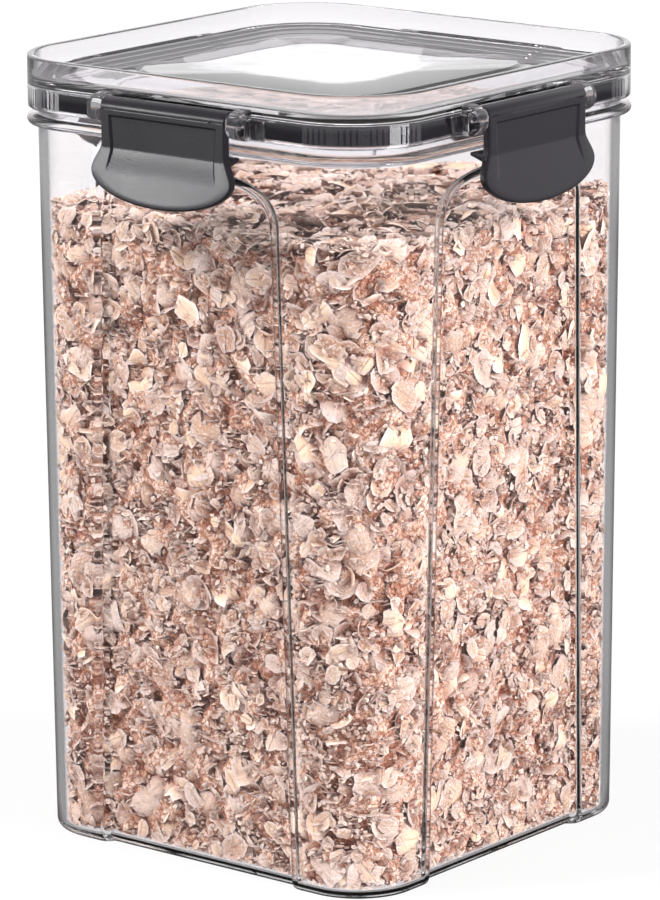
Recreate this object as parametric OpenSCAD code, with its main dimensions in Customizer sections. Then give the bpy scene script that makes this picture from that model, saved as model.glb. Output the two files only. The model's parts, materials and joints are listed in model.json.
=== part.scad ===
// Square clear storage canister: a drafted jar with a sunk panel on each side, a clear
// clip-down lid with a sealing ring, four hinged clips that hook under the jar's bead,
// and the dry flakes stored in it.
// Origin at the middle of the base, +Z up, front towards -Y. Millimetres.

/* [Overall] */
// Height from the table to the top edge of the lid
total_h = 184.5; // [140:0.5:260]
// Width of the lid over its flat sides
lid_w = 110; // [96:1:130]
// Outside radius of the lid's upright corners
lid_corner_r = 19.5; // [16:0.5:23]

/* [Jar] */
// Thickness of the jar's walls
jar_wall = 1.8; // [1.2:0.1:2.6]
// Thickness of the jar's floor
jar_floor_t = 1.5; // [1:0.1:4]
// How far each wall leans in from the bead to the base
jar_draft = 1.5; // [0.5:0.1:3]
// Radius of the outside edge around the base
base_edge_r = 2; // [0.5:0.1:2.4]
// Radius between the walls and the floor, inside
floor_edge_r = 1.25; // [1:0.25:5]
// Width of the ring that the jar stands on
foot_w = 6; // [4:0.25:10]
// Depth of the hollow inside that ring
foot_h = 0.4; // [0.2:0.1:1]
// Height of the bead that the clips hook under
bead_h = 2.1; // [1.6:0.1:3]
// How far the bead stands out from the wall
bead_out = 2.5; // [1.8:0.1:3.2]
// Open height between the lid's skirt and the bead
bead_gap = 1.8; // [0.8:0.1:3]
// Gap between the neck and the lid's skirt around it
neck_gap = 0.5; // [0.3:0.05:0.8]

/* [Side panels] */
// Depth of the sunk panel in each side
panel_depth = 2; // [1:0.1:2.6]
// Width of a panel at its shoulders
panel_top_w = 48; // [36:0.5:54]
// Width of a panel at the base
panel_base_w = 55.4; // [40:0.2:60]
// Height of the arch above the shoulders
panel_arch_h = 12; // [8:0.5:20]
// Distance from the bead down to the top of the arch
panel_drop = 6.5; // [4:0.5:20]
// Squareness of the arch's shoulders, where 2 is an ellipse
panel_power = 2.9; // [2:0.1:4]

/* [Lid] */
// Thickness of the lid's rim and skirt
skirt_t = 1.8; // [1.4:0.1:2.4]
// Height of the rim above the lid's floor
lid_rim_h = 4.8; // [3:0.2:8]
// Thickness of the lid's floor
lid_floor_t = 2; // [1.4:0.1:3]
// Height of the skirt below the lid's floor
skirt_h = 5.25; // [5:0.25:7]
// Thickness of the plug that reaches into the jar
plug_t = 1.6; // [1.2:0.1:2.2]
// Height of the plug below the lid's floor
plug_h = 9; // [7.5:0.25:12]
// Gap between the plug and the jar's wall
plug_gap = 0.4; // [0.25:0.05:0.8]
// Width of the raised middle of the lid's floor
step_w = 70; // [50:1:80]
// Height of that raised middle
step_h = 0.6; // [0.3:0.1:1.2]
// Radius of the lid's top edges
rim_edge_r = 0.5; // [0.2:0.05:0.65]

/* [Sealing ring] */
// Height of the sealing ring
gasket_h = 4.4; // [3.6:0.1:4.8]
// Height of the narrow rib that seats the ring in its channel
gasket_rib_h = 0.7; // [0.4:0.1:1.2]
// Gap between the ring and the jar's rim at rest
seal_gap = 0.15; // [0.05:0.05:0.3]

/* [Hinges] */
// Distance of the hinge pins from the lid's side
hinge_out = 2.45; // [2.45:0.05:4]
// Distance of the hinge pins below the lid's top edge
hinge_drop = 7.7; // [7:0.1:8.5]
// Radius of the clip's barrel
barrel_r = 2.25; // [1.9:0.05:2.25]
// Radius of the pins at the ends of a barrel
pin_r = 1.1; // [0.8:0.05:1.3]
// Length of each pin
pin_l = 2.6; // [1.5:0.1:3]
// Radial gap around a pin
pin_gap = 0.06; // [0.03:0.01:0.1]
// Thickness of an ear
ear_w = 3.4; // [3.2:0.1:5]
// How far an ear stands out from the lid's side
ear_out = 5; // [4.6:0.1:6.5]
// Gap between an ear and the clip beside it
ear_gap = 0.3; // [0.2:0.05:0.6]
// How far the flat pad behind an ear runs past it
pad_run = 4.2; // [2:0.1:6]
// Thickness of that pad on the lid's side
pad_t = 0.35; // [0.2:0.05:0.5]

/* [Clips] */
// Width of a clip at its barrel
clip_w = 36.2; // [28:0.2:40]
// Width of the finger tab
tab_w = 41; // [36:0.5:50]
// Thickness of the clip's plate
clip_t = 1.9; // [1.5:0.1:2.1]
// Height of the finger tab below the bend
tab_h = 12.2; // [9:0.2:20]
// Outward lean of the finger tab, in degrees
tab_lean = 10; // [0:1:20]
// How far the hook reaches under the bead
hook_catch = 1.3; // [0.8:0.1:1.5]
// Thickness of the hook where it leaves the plate
hook_t = 2.3; // [1.8:0.1:3]
// Gap between the hook and the bead
hook_gap = 0.3; // [0.25:0.05:0.5]
// Depth of the sunk field on the clip's face
field_depth = 0.4; // [0.2:0.05:0.6]
// Width of that field
field_w = 30.8; // [20:0.2:34]

/* [Contents] */
// Height of the stored flakes at the walls
fill_h = 149.5; // [60:0.5:155]
// Extra height of the flakes in the middle
fill_mound = 3; // [1:0.5:6]
// Height of the lumps on their surface
heap_lump = 1.2; // [0.4:0.1:2]
// Length of the lumps' waves
heap_wave = 41; // [30:1:60]
// Spacing of the surface's points
heap_grid = 14; // [10:1:20]
// Gap between the flakes and the jar
fill_gap = 0.3; // [0.2:0.05:0.6]

/* [Hidden] */

SIDES = ["clip_front", "clip_right", "clip_back", "clip_left"];
fine = 64;      // segments of a full round
over = 1;       // how far a cut runs past what it cuts
bite = 0.4;     // how far a joined piece reaches into its neighbour
arc_steps = 8;  // segments of a small quarter round

// Everything round the canister keeps one set of corner centres, this far from its axis.
core = lid_w / 2 - lid_corner_r;
lid_half = lid_w / 2;

// Radii about the corner centres
skirt_in_r = lid_corner_r - skirt_t;
neck_r = skirt_in_r - neck_gap;
neck_in_r = neck_r - jar_wall;
base_r = neck_r - jar_draft;
base_in_r = base_r - jar_wall;
bead_r = neck_r + bead_out;
plug_r = neck_in_r - plug_gap;

// Heights
lid_floor_top = total_h - lid_rim_h;
lid_floor_z = lid_floor_top - lid_floor_t;
skirt_z = lid_floor_z - skirt_h;
plug_z = lid_floor_z - plug_h;
gasket_z = lid_floor_z - gasket_h;
neck_top = gasket_z - seal_gap;
bead_top = skirt_z - bead_gap;
bead_z = bead_top - bead_h;
hinge_z = total_h - hinge_drop;

// Sunk panels
lean = atan(jar_draft / bead_z);
arch_top = bead_z - panel_drop;
shoulder_z = arch_top - panel_arch_h;
arch_steps = 28;

// Clips
plate_out = hinge_out + barrel_r;
plate_in = plate_out - clip_t;
hook_top = bead_z - hook_gap;
bend_z = hook_top - hook_t / 4;
tab_z = bend_z - tab_h;
tab_run = tab_h * tan(tab_lean);
tab_round = 0.6 * tab_h;
tab_mid = tab_z + tab_round;
waist_z = bend_z + 1.2;
hook_tip = lid_half - (core + bead_r) + hook_catch;
field_top = hinge_z - 1.8;

// Ears
ear_in = clip_w / 2 + ear_gap;
ear_top = lid_floor_top - 0.2;
ear_mid = (ear_top + skirt_z) / 2;
ear_half_h = (ear_top - skirt_z) / 2;

// ---- shared shapes -------------------------------------------------------------------

// Square with round corners whose centres lie at the canister's corner centres.
module rounded_square(r) {
    square([2 * (core + r), 2 * core], center = true);
    square([2 * core, 2 * (core + r)], center = true);
    for (sx = [-1, 1], sy = [-1, 1])
        translate([sx * core, sy * core]) circle(r, $fn = fine);
}

// Plate of the rounded square between two heights.
module rounded_plate(r, z0, z1) {
    translate([0, 0, z0]) linear_extrude(z1 - z0) rounded_square(r);
}

// Carries a profile once round the canister: x is measured out from the corner centres,
// y is the height.
module around() {
    for (q = [0:3]) rotate(90 * q) {
        translate([core, core, 0]) rotate_extrude(angle = 90, $fn = fine) children();
        translate([core, core, 0]) rotate([90, 0, 0]) linear_extrude(2 * core) children();
    }
}

// Carries a profile of (distance out from the lid's side, height) along the front side.
module along_front(x0, x1) {
    translate([x1, -lid_half, 0]) rotate([0, 0, -90]) rotate([90, 0, 0])
        linear_extrude(x1 - x0) children();
}

// Stands an outline of (x, height) up and extrudes it outwards from the plane y = -out.
module stand_up(out, t) {
    translate([0, -out, 0]) rotate([90, 0, 0]) linear_extrude(t) children();
}

// Points of an arc in profile coordinates.
function arc(cx, cy, r, from, to) =
    [for (i = [0:arc_steps]) let (a = from + (to - from) * i / arc_steps)
        [cx + r * cos(a), cy + r * sin(a)]];

// ---- jar -----------------------------------------------------------------------------

// Section of the wall, with the round base edge, the foot and the fillet to the floor.
module wall_section() {
    polygon(concat(
        [[base_r - foot_w, 0]],
        arc(base_r - base_edge_r, base_edge_r, base_edge_r, -90, 0),
        [[neck_r, bead_z], [neck_r, neck_top - 0.4], [neck_r - 0.4, neck_top],
         [neck_in_r + 0.4, neck_top], [neck_in_r, neck_top - 0.4], [neck_in_r, bead_z]],
        arc(base_in_r - floor_edge_r, jar_floor_t + floor_edge_r, floor_edge_r, 0, -90),
        [[base_r - foot_w, jar_floor_t]]));
}

// Section of the bead: a flange with a round outer edge.
module bead_section() {
    translate([neck_r - bite, bead_z]) square([bead_out + bite - bead_h / 2, bead_h]);
    translate([bead_r - bead_h / 2, bead_z + bead_h / 2]) circle(bead_h / 2, $fn = 32);
}

// Outline of a panel, grown all round: straight sides that close towards the shoulders,
// then an arch |x / a|^p + |z / b|^p = 1.
function panel_outline(grow, z0) = let (
        a = panel_top_w / 2 + grow,
        a0 = panel_base_w / 2 + grow,
        b = panel_arch_h + grow,
        p = 2 / panel_power)
    concat([[-a0, z0]],
        [for (i = [0:arch_steps]) let (t = 180 - 180 * i / arch_steps)
            [a * sign(cos(t)) * pow(abs(cos(t)), p), shoulder_z + b * pow(abs(sin(t)), p)]],
        [[a0, z0]]);

// Slab of the panel's outline parallel to the leaning wall, its inner face at a depth.
module panel_slab(depth, t, grow, z0) {
    for (q = [0:3]) rotate(90 * q)
        translate([0, -(core + base_r - depth), 0]) rotate([90 + lean, 0, 0])
            linear_extrude(t) polygon(panel_outline(grow, z0));
}

module jar_body() {
    color([0.88, 0.88, 0.9, 0.35]) difference() {
        union() {
            around() wall_section();
            around() bead_section();
            rounded_plate(base_r - foot_w + bite, foot_h, jar_floor_t);
            panel_slab(panel_depth + jar_wall, panel_depth + jar_wall / 2, jar_wall,
                jar_floor_t / 2);
        }
        panel_slab(panel_depth, panel_depth + over, 0, -over);
    }
}

// ---- contents ------------------------------------------------------------------------

// Height of the flakes' surface: level at the walls, a low mound, and two crossed waves.
function heap_z(x, y) = let (edge = core + base_in_r)
    fill_h + fill_mound * max(0, 1 - pow(max(abs(x), abs(y)) / edge, 2))
    + heap_lump * sin(360 * x / heap_wave + 50) * cos(360 * y / heap_wave - 20);

// Block under that surface, wider than the jar, on a grid of points.
module heap(low) {
    n = round(lid_w / heap_grid);
    side = [for (i = [0:n]) i * lid_w / n - lid_half];
    corners = (n + 1) * (n + 1);
    function spot(i, j) = j * (n + 1) + i;
    polyhedron(
        concat([for (y = side, x = side) [x, y, heap_z(x, y)]],
            [for (q = [[-1, -1], [1, -1], [1, 1], [-1, 1]]) [q[0] * lid_half, q[1] * lid_half, low]]),
        concat(
            [for (i = [0:n - 1], j = [0:n - 1]) [spot(i, j), spot(i, j + 1), spot(i + 1, j + 1)]],
            [for (i = [0:n - 1], j = [0:n - 1]) [spot(i, j), spot(i + 1, j + 1), spot(i + 1, j)]],
            [[for (i = [0:3]) corners + i],
             concat([for (i = [0:n]) spot(i, 0)], [corners + 1, corners]),
             concat([for (j = [0:n]) spot(n, j)], [corners + 2, corners + 1]),
             concat([for (i = [0:n]) spot(n - i, n)], [corners + 3, corners + 2]),
             concat([for (j = [0:n]) spot(0, n - j)], [corners, corners + 3])]));
}

module rolled_oats() {
    r0 = base_in_r - fill_gap;
    z0 = jar_floor_t + fill_gap;
    top = fill_h + fill_mound + heap_lump;
    slope = jar_draft / bead_z;
    color([0.8, 0.66, 0.52]) difference() {
        intersection() {
            union() {
                around() polygon([[0, z0], [r0 - floor_edge_r, z0], [r0, z0 + floor_edge_r],
                    [r0 + slope * top, top], [0, top]]);
                translate([-core - bite, -core - bite, z0])
                    cube([2 * (core + bite), 2 * (core + bite), top - z0]);
            }
            heap(0);
        }
        panel_slab(panel_depth + jar_wall + fill_gap, panel_depth + jar_wall + over,
            jar_wall + fill_gap, -over);
    }
}

// ---- lid -----------------------------------------------------------------------------

// Section of the rim and skirt with its two rounded top edges.
module rim_section() {
    translate([skirt_in_r, skirt_z]) square([skirt_t, total_h - rim_edge_r - skirt_z]);
    translate([skirt_in_r + rim_edge_r, total_h - 2 * rim_edge_r])
        square([skirt_t - 2 * rim_edge_r, 2 * rim_edge_r]);
    for (x = [skirt_in_r + rim_edge_r, lid_corner_r - rim_edge_r])
        translate([x, total_h - rim_edge_r]) circle(rim_edge_r, $fn = 24);
}

// Half a superellipse standing out from the lid's side, rooted in the skirt.
function ear_outline() = concat([[-skirt_t / 2, ear_top - 1]],
    [for (i = [0:24]) let (t = 90 - 180 * i / 24)
        [ear_out * pow(abs(cos(t)), 0.9), ear_mid + ear_half_h * sign(sin(t)) * pow(abs(sin(t)), 0.9)]],
    [[-skirt_t / 2, skirt_z + 0.5]]);

// Thin pad on the side that an ear stands on, running out past it with round ends.
module hinge_pad() {
    reach = ear_in + ear_w + pad_run;
    low = skirt_z + 0.3;
    high = lid_floor_z - 0.3;
    stand_up(lid_half - bite, pad_t + bite) for (s = [0, 1]) mirror([s, 0]) {
        translate([ear_in, low]) square([reach - ear_in, high - low - 1]);
        translate([ear_in, low]) square([reach - ear_in - 1, high - low]);
        translate([reach - 1, high - 1]) circle(1, $fn = 32);
    }
}

module ears() {
    for (q = [0:3]) rotate(90 * q) {
        hinge_pad();
        along_front(ear_in, ear_in + ear_w) polygon(ear_outline());
        along_front(-ear_in - ear_w, -ear_in) polygon(ear_outline());
    }
}

// Blind bores in the facing sides of each pair of ears.
module ear_bores() {
    deep = pin_l + ear_gap;
    for (q = [0:3], s = [0, 180]) rotate(90 * q)
        translate([0, -lid_half - hinge_out, hinge_z]) rotate([0, 90, s])
            translate([0, 0, ear_in - over]) cylinder(h = deep + over, r = pin_r + pin_gap, $fn = 48);
}

module lid_shell() {
    color([0.86, 0.86, 0.89, 0.35]) difference() {
        union() {
            around() rim_section();
            rounded_plate(skirt_in_r + bite, lid_floor_z, lid_floor_top);
            translate([0, 0, lid_floor_top - bite]) linear_extrude(step_h + bite)
                raised_middle();
            around() translate([plug_r - plug_t, plug_z]) square([plug_t, plug_h + bite]);
            ears();
        }
        ear_bores();
    }
}

// Plan of the raised middle of the lid's floor.
module raised_middle() {
    r = lid_corner_r - 4;
    c = step_w / 2 - r;
    square([step_w, 2 * c], center = true);
    square([2 * c, step_w], center = true);
    for (sx = [-1, 1], sy = [-1, 1]) translate([sx * c, sy * c]) circle(r, $fn = fine);
}

module lid_gasket() {
    body_h = gasket_h - gasket_rib_h;
    ring_t = skirt_in_r - plug_r;
    color([0.2, 0.2, 0.22]) around() {
        translate([plug_r, gasket_z]) square([ring_t, body_h]);
        translate([plug_r, gasket_z + body_h - bite]) square([ring_t / 2, gasket_rib_h + bite]);
    }
}

// ---- clips ---------------------------------------------------------------------------

// Section of the plate and the leaning finger tab.
module clip_section() {
    polygon([[plate_in, hinge_z], [plate_out, hinge_z], [plate_out, bend_z],
        [plate_out + tab_run, tab_z], [plate_out + tab_run - clip_t + 0.3, tab_z],
        [plate_in, bend_z]]);
}

// Outline of half a clip's width at a height between the waist and the tab.
function flare(u) = clip_w / 2 + (tab_w - clip_w) / 2 * (3 * u * u - 2 * u * u * u);

// Front outline: straight waist, a smooth flare, and half an ellipse at the bottom.
function clip_outline() = concat(
    [[-clip_w / 2, hinge_z + barrel_r + over]],
    [for (i = [0:8]) let (u = i / 8) [-flare(u), waist_z + (tab_mid - waist_z) * u]],
    [for (i = [1:31]) let (t = 180 + 180 * i / 32)
        [tab_w / 2 * cos(t), tab_mid + tab_round * sin(t)]],
    [for (i = [8:-1:0]) let (u = i / 8) [flare(u), waist_z + (tab_mid - waist_z) * u]],
    [[clip_w / 2, hinge_z + barrel_r + over]]);

// Section of the hook: flat on top, tapering to a blunt tip under the bead.
module hook_section() {
    polygon([[plate_in + bite, hook_top], [0.3 - hook_tip, hook_top],
        [-hook_tip, hook_top - 0.3], [-hook_tip, hook_top - 0.8],
        [plate_in + bite, hook_top - hook_t]]);
}

module clip() {
    half = clip_w / 2;
    color([0.2, 0.19, 0.21]) difference() {
        union() {
            intersection() {
                along_front(-tab_w, tab_w) clip_section();
                stand_up(lid_half, plate_out + tab_run + over) polygon(clip_outline());
            }
            along_front(-half + 0.4, half - 0.4) hook_section();
            translate([-half, -lid_half - hinge_out, hinge_z]) rotate([0, 90, 0])
                cylinder(h = clip_w, r = barrel_r, $fn = fine);
            translate([-half - pin_l, -lid_half - hinge_out, hinge_z]) rotate([0, 90, 0])
                cylinder(h = clip_w + 2 * pin_l, r = pin_r, $fn = 48);
        }
        stand_up(lid_half + plate_out - field_depth, field_depth + over)
            translate([-field_w / 2, bend_z]) square([field_w, field_top - bend_z]);
    }
}

module clip_front() { clip(); }
module clip_right() { rotate(90) clip(); }
module clip_back() { rotate(180) clip(); }
module clip_left() { rotate(270) clip(); }

jar_body();
rolled_oats();
lid_shell();
lid_gasket();
clip_front();
clip_right();
clip_back();
clip_left();
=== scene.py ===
"""Clear square storage canister with a clip-down lid, filled with rolled oat flakes.

Every piece is worked out in millimetres about the canister's axis, with the base at z = 0 and
the front towards -Y, and is scaled to metres when its mesh is made.
"""

import json
import logging
import math
from dataclasses import dataclass, field
from enum import Enum

import bmesh
import bpy
import numpy as np
from mathutils import Matrix, Vector

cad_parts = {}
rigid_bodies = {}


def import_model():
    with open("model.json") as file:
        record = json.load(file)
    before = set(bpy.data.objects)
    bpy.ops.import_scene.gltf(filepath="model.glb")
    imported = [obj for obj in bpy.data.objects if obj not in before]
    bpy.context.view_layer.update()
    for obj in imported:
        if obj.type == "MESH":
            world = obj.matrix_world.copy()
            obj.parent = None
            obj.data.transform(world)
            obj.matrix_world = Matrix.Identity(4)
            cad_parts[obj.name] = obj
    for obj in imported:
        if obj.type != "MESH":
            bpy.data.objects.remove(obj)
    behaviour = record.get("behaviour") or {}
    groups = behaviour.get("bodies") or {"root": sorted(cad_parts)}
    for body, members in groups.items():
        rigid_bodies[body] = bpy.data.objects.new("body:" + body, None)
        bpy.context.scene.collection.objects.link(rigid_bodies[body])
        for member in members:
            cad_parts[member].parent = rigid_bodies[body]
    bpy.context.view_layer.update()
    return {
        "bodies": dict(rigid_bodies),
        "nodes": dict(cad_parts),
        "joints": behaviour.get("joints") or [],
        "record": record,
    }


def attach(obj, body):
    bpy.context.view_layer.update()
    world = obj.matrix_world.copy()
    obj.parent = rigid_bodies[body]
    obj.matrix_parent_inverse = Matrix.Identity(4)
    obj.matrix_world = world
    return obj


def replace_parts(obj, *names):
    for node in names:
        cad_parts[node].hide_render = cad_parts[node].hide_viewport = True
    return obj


Array = np.ndarray
Socket = bpy.types.NodeSocket
Colour = tuple[float, float, float]

LOG = logging.getLogger("canister")
MM = 0.001
CORE = 35.5  # distance of every corner centre from the axis, mm
SEED = 20611
OAT_ROUGH, OAT_SHINE = 0.95, 0.05  # roughness and specular level of flakes and crumbs
# The deep mark sets how much painted shade the flakes get.
FLAKE_MARKS = ("tone", "hue", "rim", "seam", "deep")


class Side(Enum):
    """The four sides, each with its quarter turns from the front."""

    FRONT = 0
    RIGHT = 1
    BACK = 2
    LEFT = 3


# ---- numbers and grids -----------------------------------------------------------------


def smooth(value: Array, low: float, high: float) -> Array:
    """Smooth step: 3 t squared less 2 t cubed, where t runs from 0 at low to 1 at high.

    Args:
        value: Numbers to ease.
        low: Where the step starts.
        high: Where the step ends.

    Returns:
        Values from 0 to 1.
    """
    t = np.clip((value - low) / (high - low), 0.0, 1.0)
    return t * t * (3 - 2 * t)


def arc_points(centre: tuple[float, float], radius: float, start: float, end: float,
               steps: int) -> Array:
    """Points of an arc: centre plus radius times (cosine, sine) of evenly spaced angles.

    Args:
        centre: Centre in the profile plane.
        radius: Radius of the arc.
        start: First angle in degrees.
        end: Last angle in degrees.
        steps: Number of segments.

    Returns:
        Array of (steps + 1, 2).
    """
    a = np.radians(np.linspace(start, end, steps + 1))
    return np.stack([centre[0] + radius * np.cos(a), centre[1] + radius * np.sin(a)], 1)


def circle(steps: int) -> Array:
    """Angles of evenly spaced steps round a full turn, in radians."""
    return np.radians(np.linspace(0, 360, steps + 1)[:-1])


def quarter_turns(points: Array, turns: int) -> Array:
    """Turns points about the axis: each quarter turn sends (x, y) to (-y, x).

    Args:
        points: Array of (..., 3).
        turns: Number of quarter turns.

    Returns:
        The turned points.
    """
    c, s = [(1, 0), (0, 1), (-1, 0), (0, -1)][turns % 4]
    x, y, z = points[..., 0], points[..., 1], points[..., 2]
    return np.stack([c * x - s * y, s * x + c * y, z], -1)


def around(half: Array, z: Array, fractions: Array, corner: int,
           radius: Array | None = None) -> Array:
    """Carries a profile round a rounded square.

    On a side, x is the column's fraction of the straight half length and y is minus the half
    width; on a corner, the point is the corner centre plus the radius times (sine, -cosine).

    Args:
        half: Half width of each row.
        z: Height of each row.
        fractions: Places of the columns along a straight side, from -1 to 1.
        corner: Number of segments in a corner.
        radius: Corner radius of each row; half less CORE when left out.

    Returns:
        Array of (rows, columns, 3), running anticlockwise from the front side.
    """
    radius = half - CORE if radius is None else radius
    centre = (half - radius)[:, None]
    f = fractions[:-1][None, :]
    angle = np.linspace(0, np.pi / 2, corner + 1)[:-1][None, :]
    x = np.concatenate([f * centre, centre + radius[:, None] * np.sin(angle)], 1)
    y = np.concatenate([-half[:, None] + 0 * f, -centre - radius[:, None] * np.cos(angle)], 1)
    quarter = np.stack([x, y, np.broadcast_to(z[:, None], x.shape)], -1)
    return np.concatenate([quarter_turns(quarter, k) for k in range(4)], 1)


def raw_mesh(name: str, points: Array, *faces: Array) -> bpy.types.Mesh:
    """Makes a mesh.

    Args:
        name: Its name.
        points: Vertices in mm.
        *faces: Arrays of vertex indices, each for faces of one number of corners.

    Returns:
        The mesh, without attributes.
    """
    corners = np.concatenate([np.full(len(f), f.shape[1]) for f in faces])
    mesh = bpy.data.meshes.new(name)
    mesh.vertices.add(len(points))
    mesh.vertices.foreach_set("co", (points * MM).astype(np.float32).ravel())
    mesh.loops.add(int(corners.sum()))
    mesh.loops.foreach_set("vertex_index", np.concatenate([f.ravel() for f in faces]).astype(np.int32))
    mesh.polygons.add(len(corners))
    mesh.polygons.foreach_set("loop_start", (np.cumsum(corners) - corners).astype(np.int32))
    mesh.update(calc_edges=True)
    return mesh


def set_marks(mesh: bpy.types.Mesh, marks: dict[str, Array]) -> None:
    """Gives a mesh its point attributes."""
    for name, values in marks.items():
        mesh.attributes.new(name, "FLOAT", "POINT").data.foreach_set("value", values.astype(np.float32))


def in_scene(name: str, data: bpy.types.ID) -> bpy.types.Object:
    """Makes an object and links it to the scene.

    Args:
        name: Its name.
        data: Its mesh, lamp or camera.

    Returns:
        The object.
    """
    obj = bpy.data.objects.new(name, data)
    bpy.context.scene.collection.objects.link(obj)
    return obj


@dataclass
class Patchwork:
    """Grids of vertices gathered into one mesh, with point attributes.

    Attributes:
        points: Vertex arrays gathered so far, mm.
        faces: Face index arrays gathered so far.
        marks: Point attributes by name, one array for each gathered grid.
        count: Number of vertices gathered so far.
    """

    points: list[Array] = field(default_factory=list)
    faces: list[Array] = field(default_factory=list)
    marks: dict[str, list[Array]] = field(default_factory=dict)
    count: int = 0

    def add(self, grid: Array, wrap: bool = False, flip: bool = False,
            **marks: Array | float) -> None:
        """Adds a grid whose faces look outward when rows run up and columns run anticlockwise.

        Args:
            grid: Array of (rows, columns, 3).
            wrap: Whether the last column joins the first.
            flip: Whether to turn the faces over.
            **marks: Values for the point attributes, numbers or (rows, columns) arrays.
        """
        rows, columns = grid.shape[:2]
        index = np.arange(rows * columns).reshape(rows, columns) + self.count
        if wrap:
            index = np.concatenate([index, index[:, :1]], 1)
        quads = np.stack([index[:-1, :-1], index[:-1, 1:], index[1:, 1:], index[1:, :-1]], -1).reshape(-1, 4)
        self.faces.append(quads[:, ::-1] if flip else quads)
        self.points.append(grid.reshape(-1, 3))
        for name, value in marks.items():
            spread = np.broadcast_to(np.asarray(value, float), (rows, columns)).reshape(-1)
            self.marks.setdefault(name, []).append(spread)
        self.count += rows * columns

    def pane(self, grid: Array, turn: Array | float, fold: Array | float = 0.0,
             line: Array | float = 0.0, **how: bool) -> None:
        """Adds a grid of clear plastic with the amounts of painted shade that darken it; see
        ClearPlastic.make.
        """
        self.add(grid, line=line, turn=turn, fold=fold, **how)

    def build(self, name: str, merge: float = 2e-6) -> bpy.types.Object:
        """Makes the mesh object, with doubles merged and smooth shading.

        Args:
            name: Name of the object.
            merge: Merging distance in metres.

        Returns:
            The new object, with its place in its mesh.
        """
        mesh = raw_mesh(name, np.concatenate(self.points), np.concatenate(self.faces))
        set_marks(mesh, {mark: np.concatenate(values) for mark, values in self.marks.items()})
        work = bmesh.new()
        work.from_mesh(mesh)
        bmesh.ops.remove_doubles(work, verts=work.verts, dist=merge)
        work.to_mesh(mesh)
        work.free()
        mesh.shade_smooth()
        return in_scene(name, mesh)


def dress(obj: bpy.types.Object, material: bpy.types.Material, body: str) -> bpy.types.Object:
    """Gives a piece its material, the body it rides on and its slot, and reports it.

    Args:
        obj: The piece.
        material: Its finish.
        body: CAD body that it moves with.

    Returns:
        The same piece.
    """
    obj.data.materials.clear()
    obj.data.materials.append(material)
    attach(obj, body)
    LOG.info("%s: %d faces, rides on %s", obj.name, len(obj.data.polygons), body)
    return obj


# ---- finishes --------------------------------------------------------------------------


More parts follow.
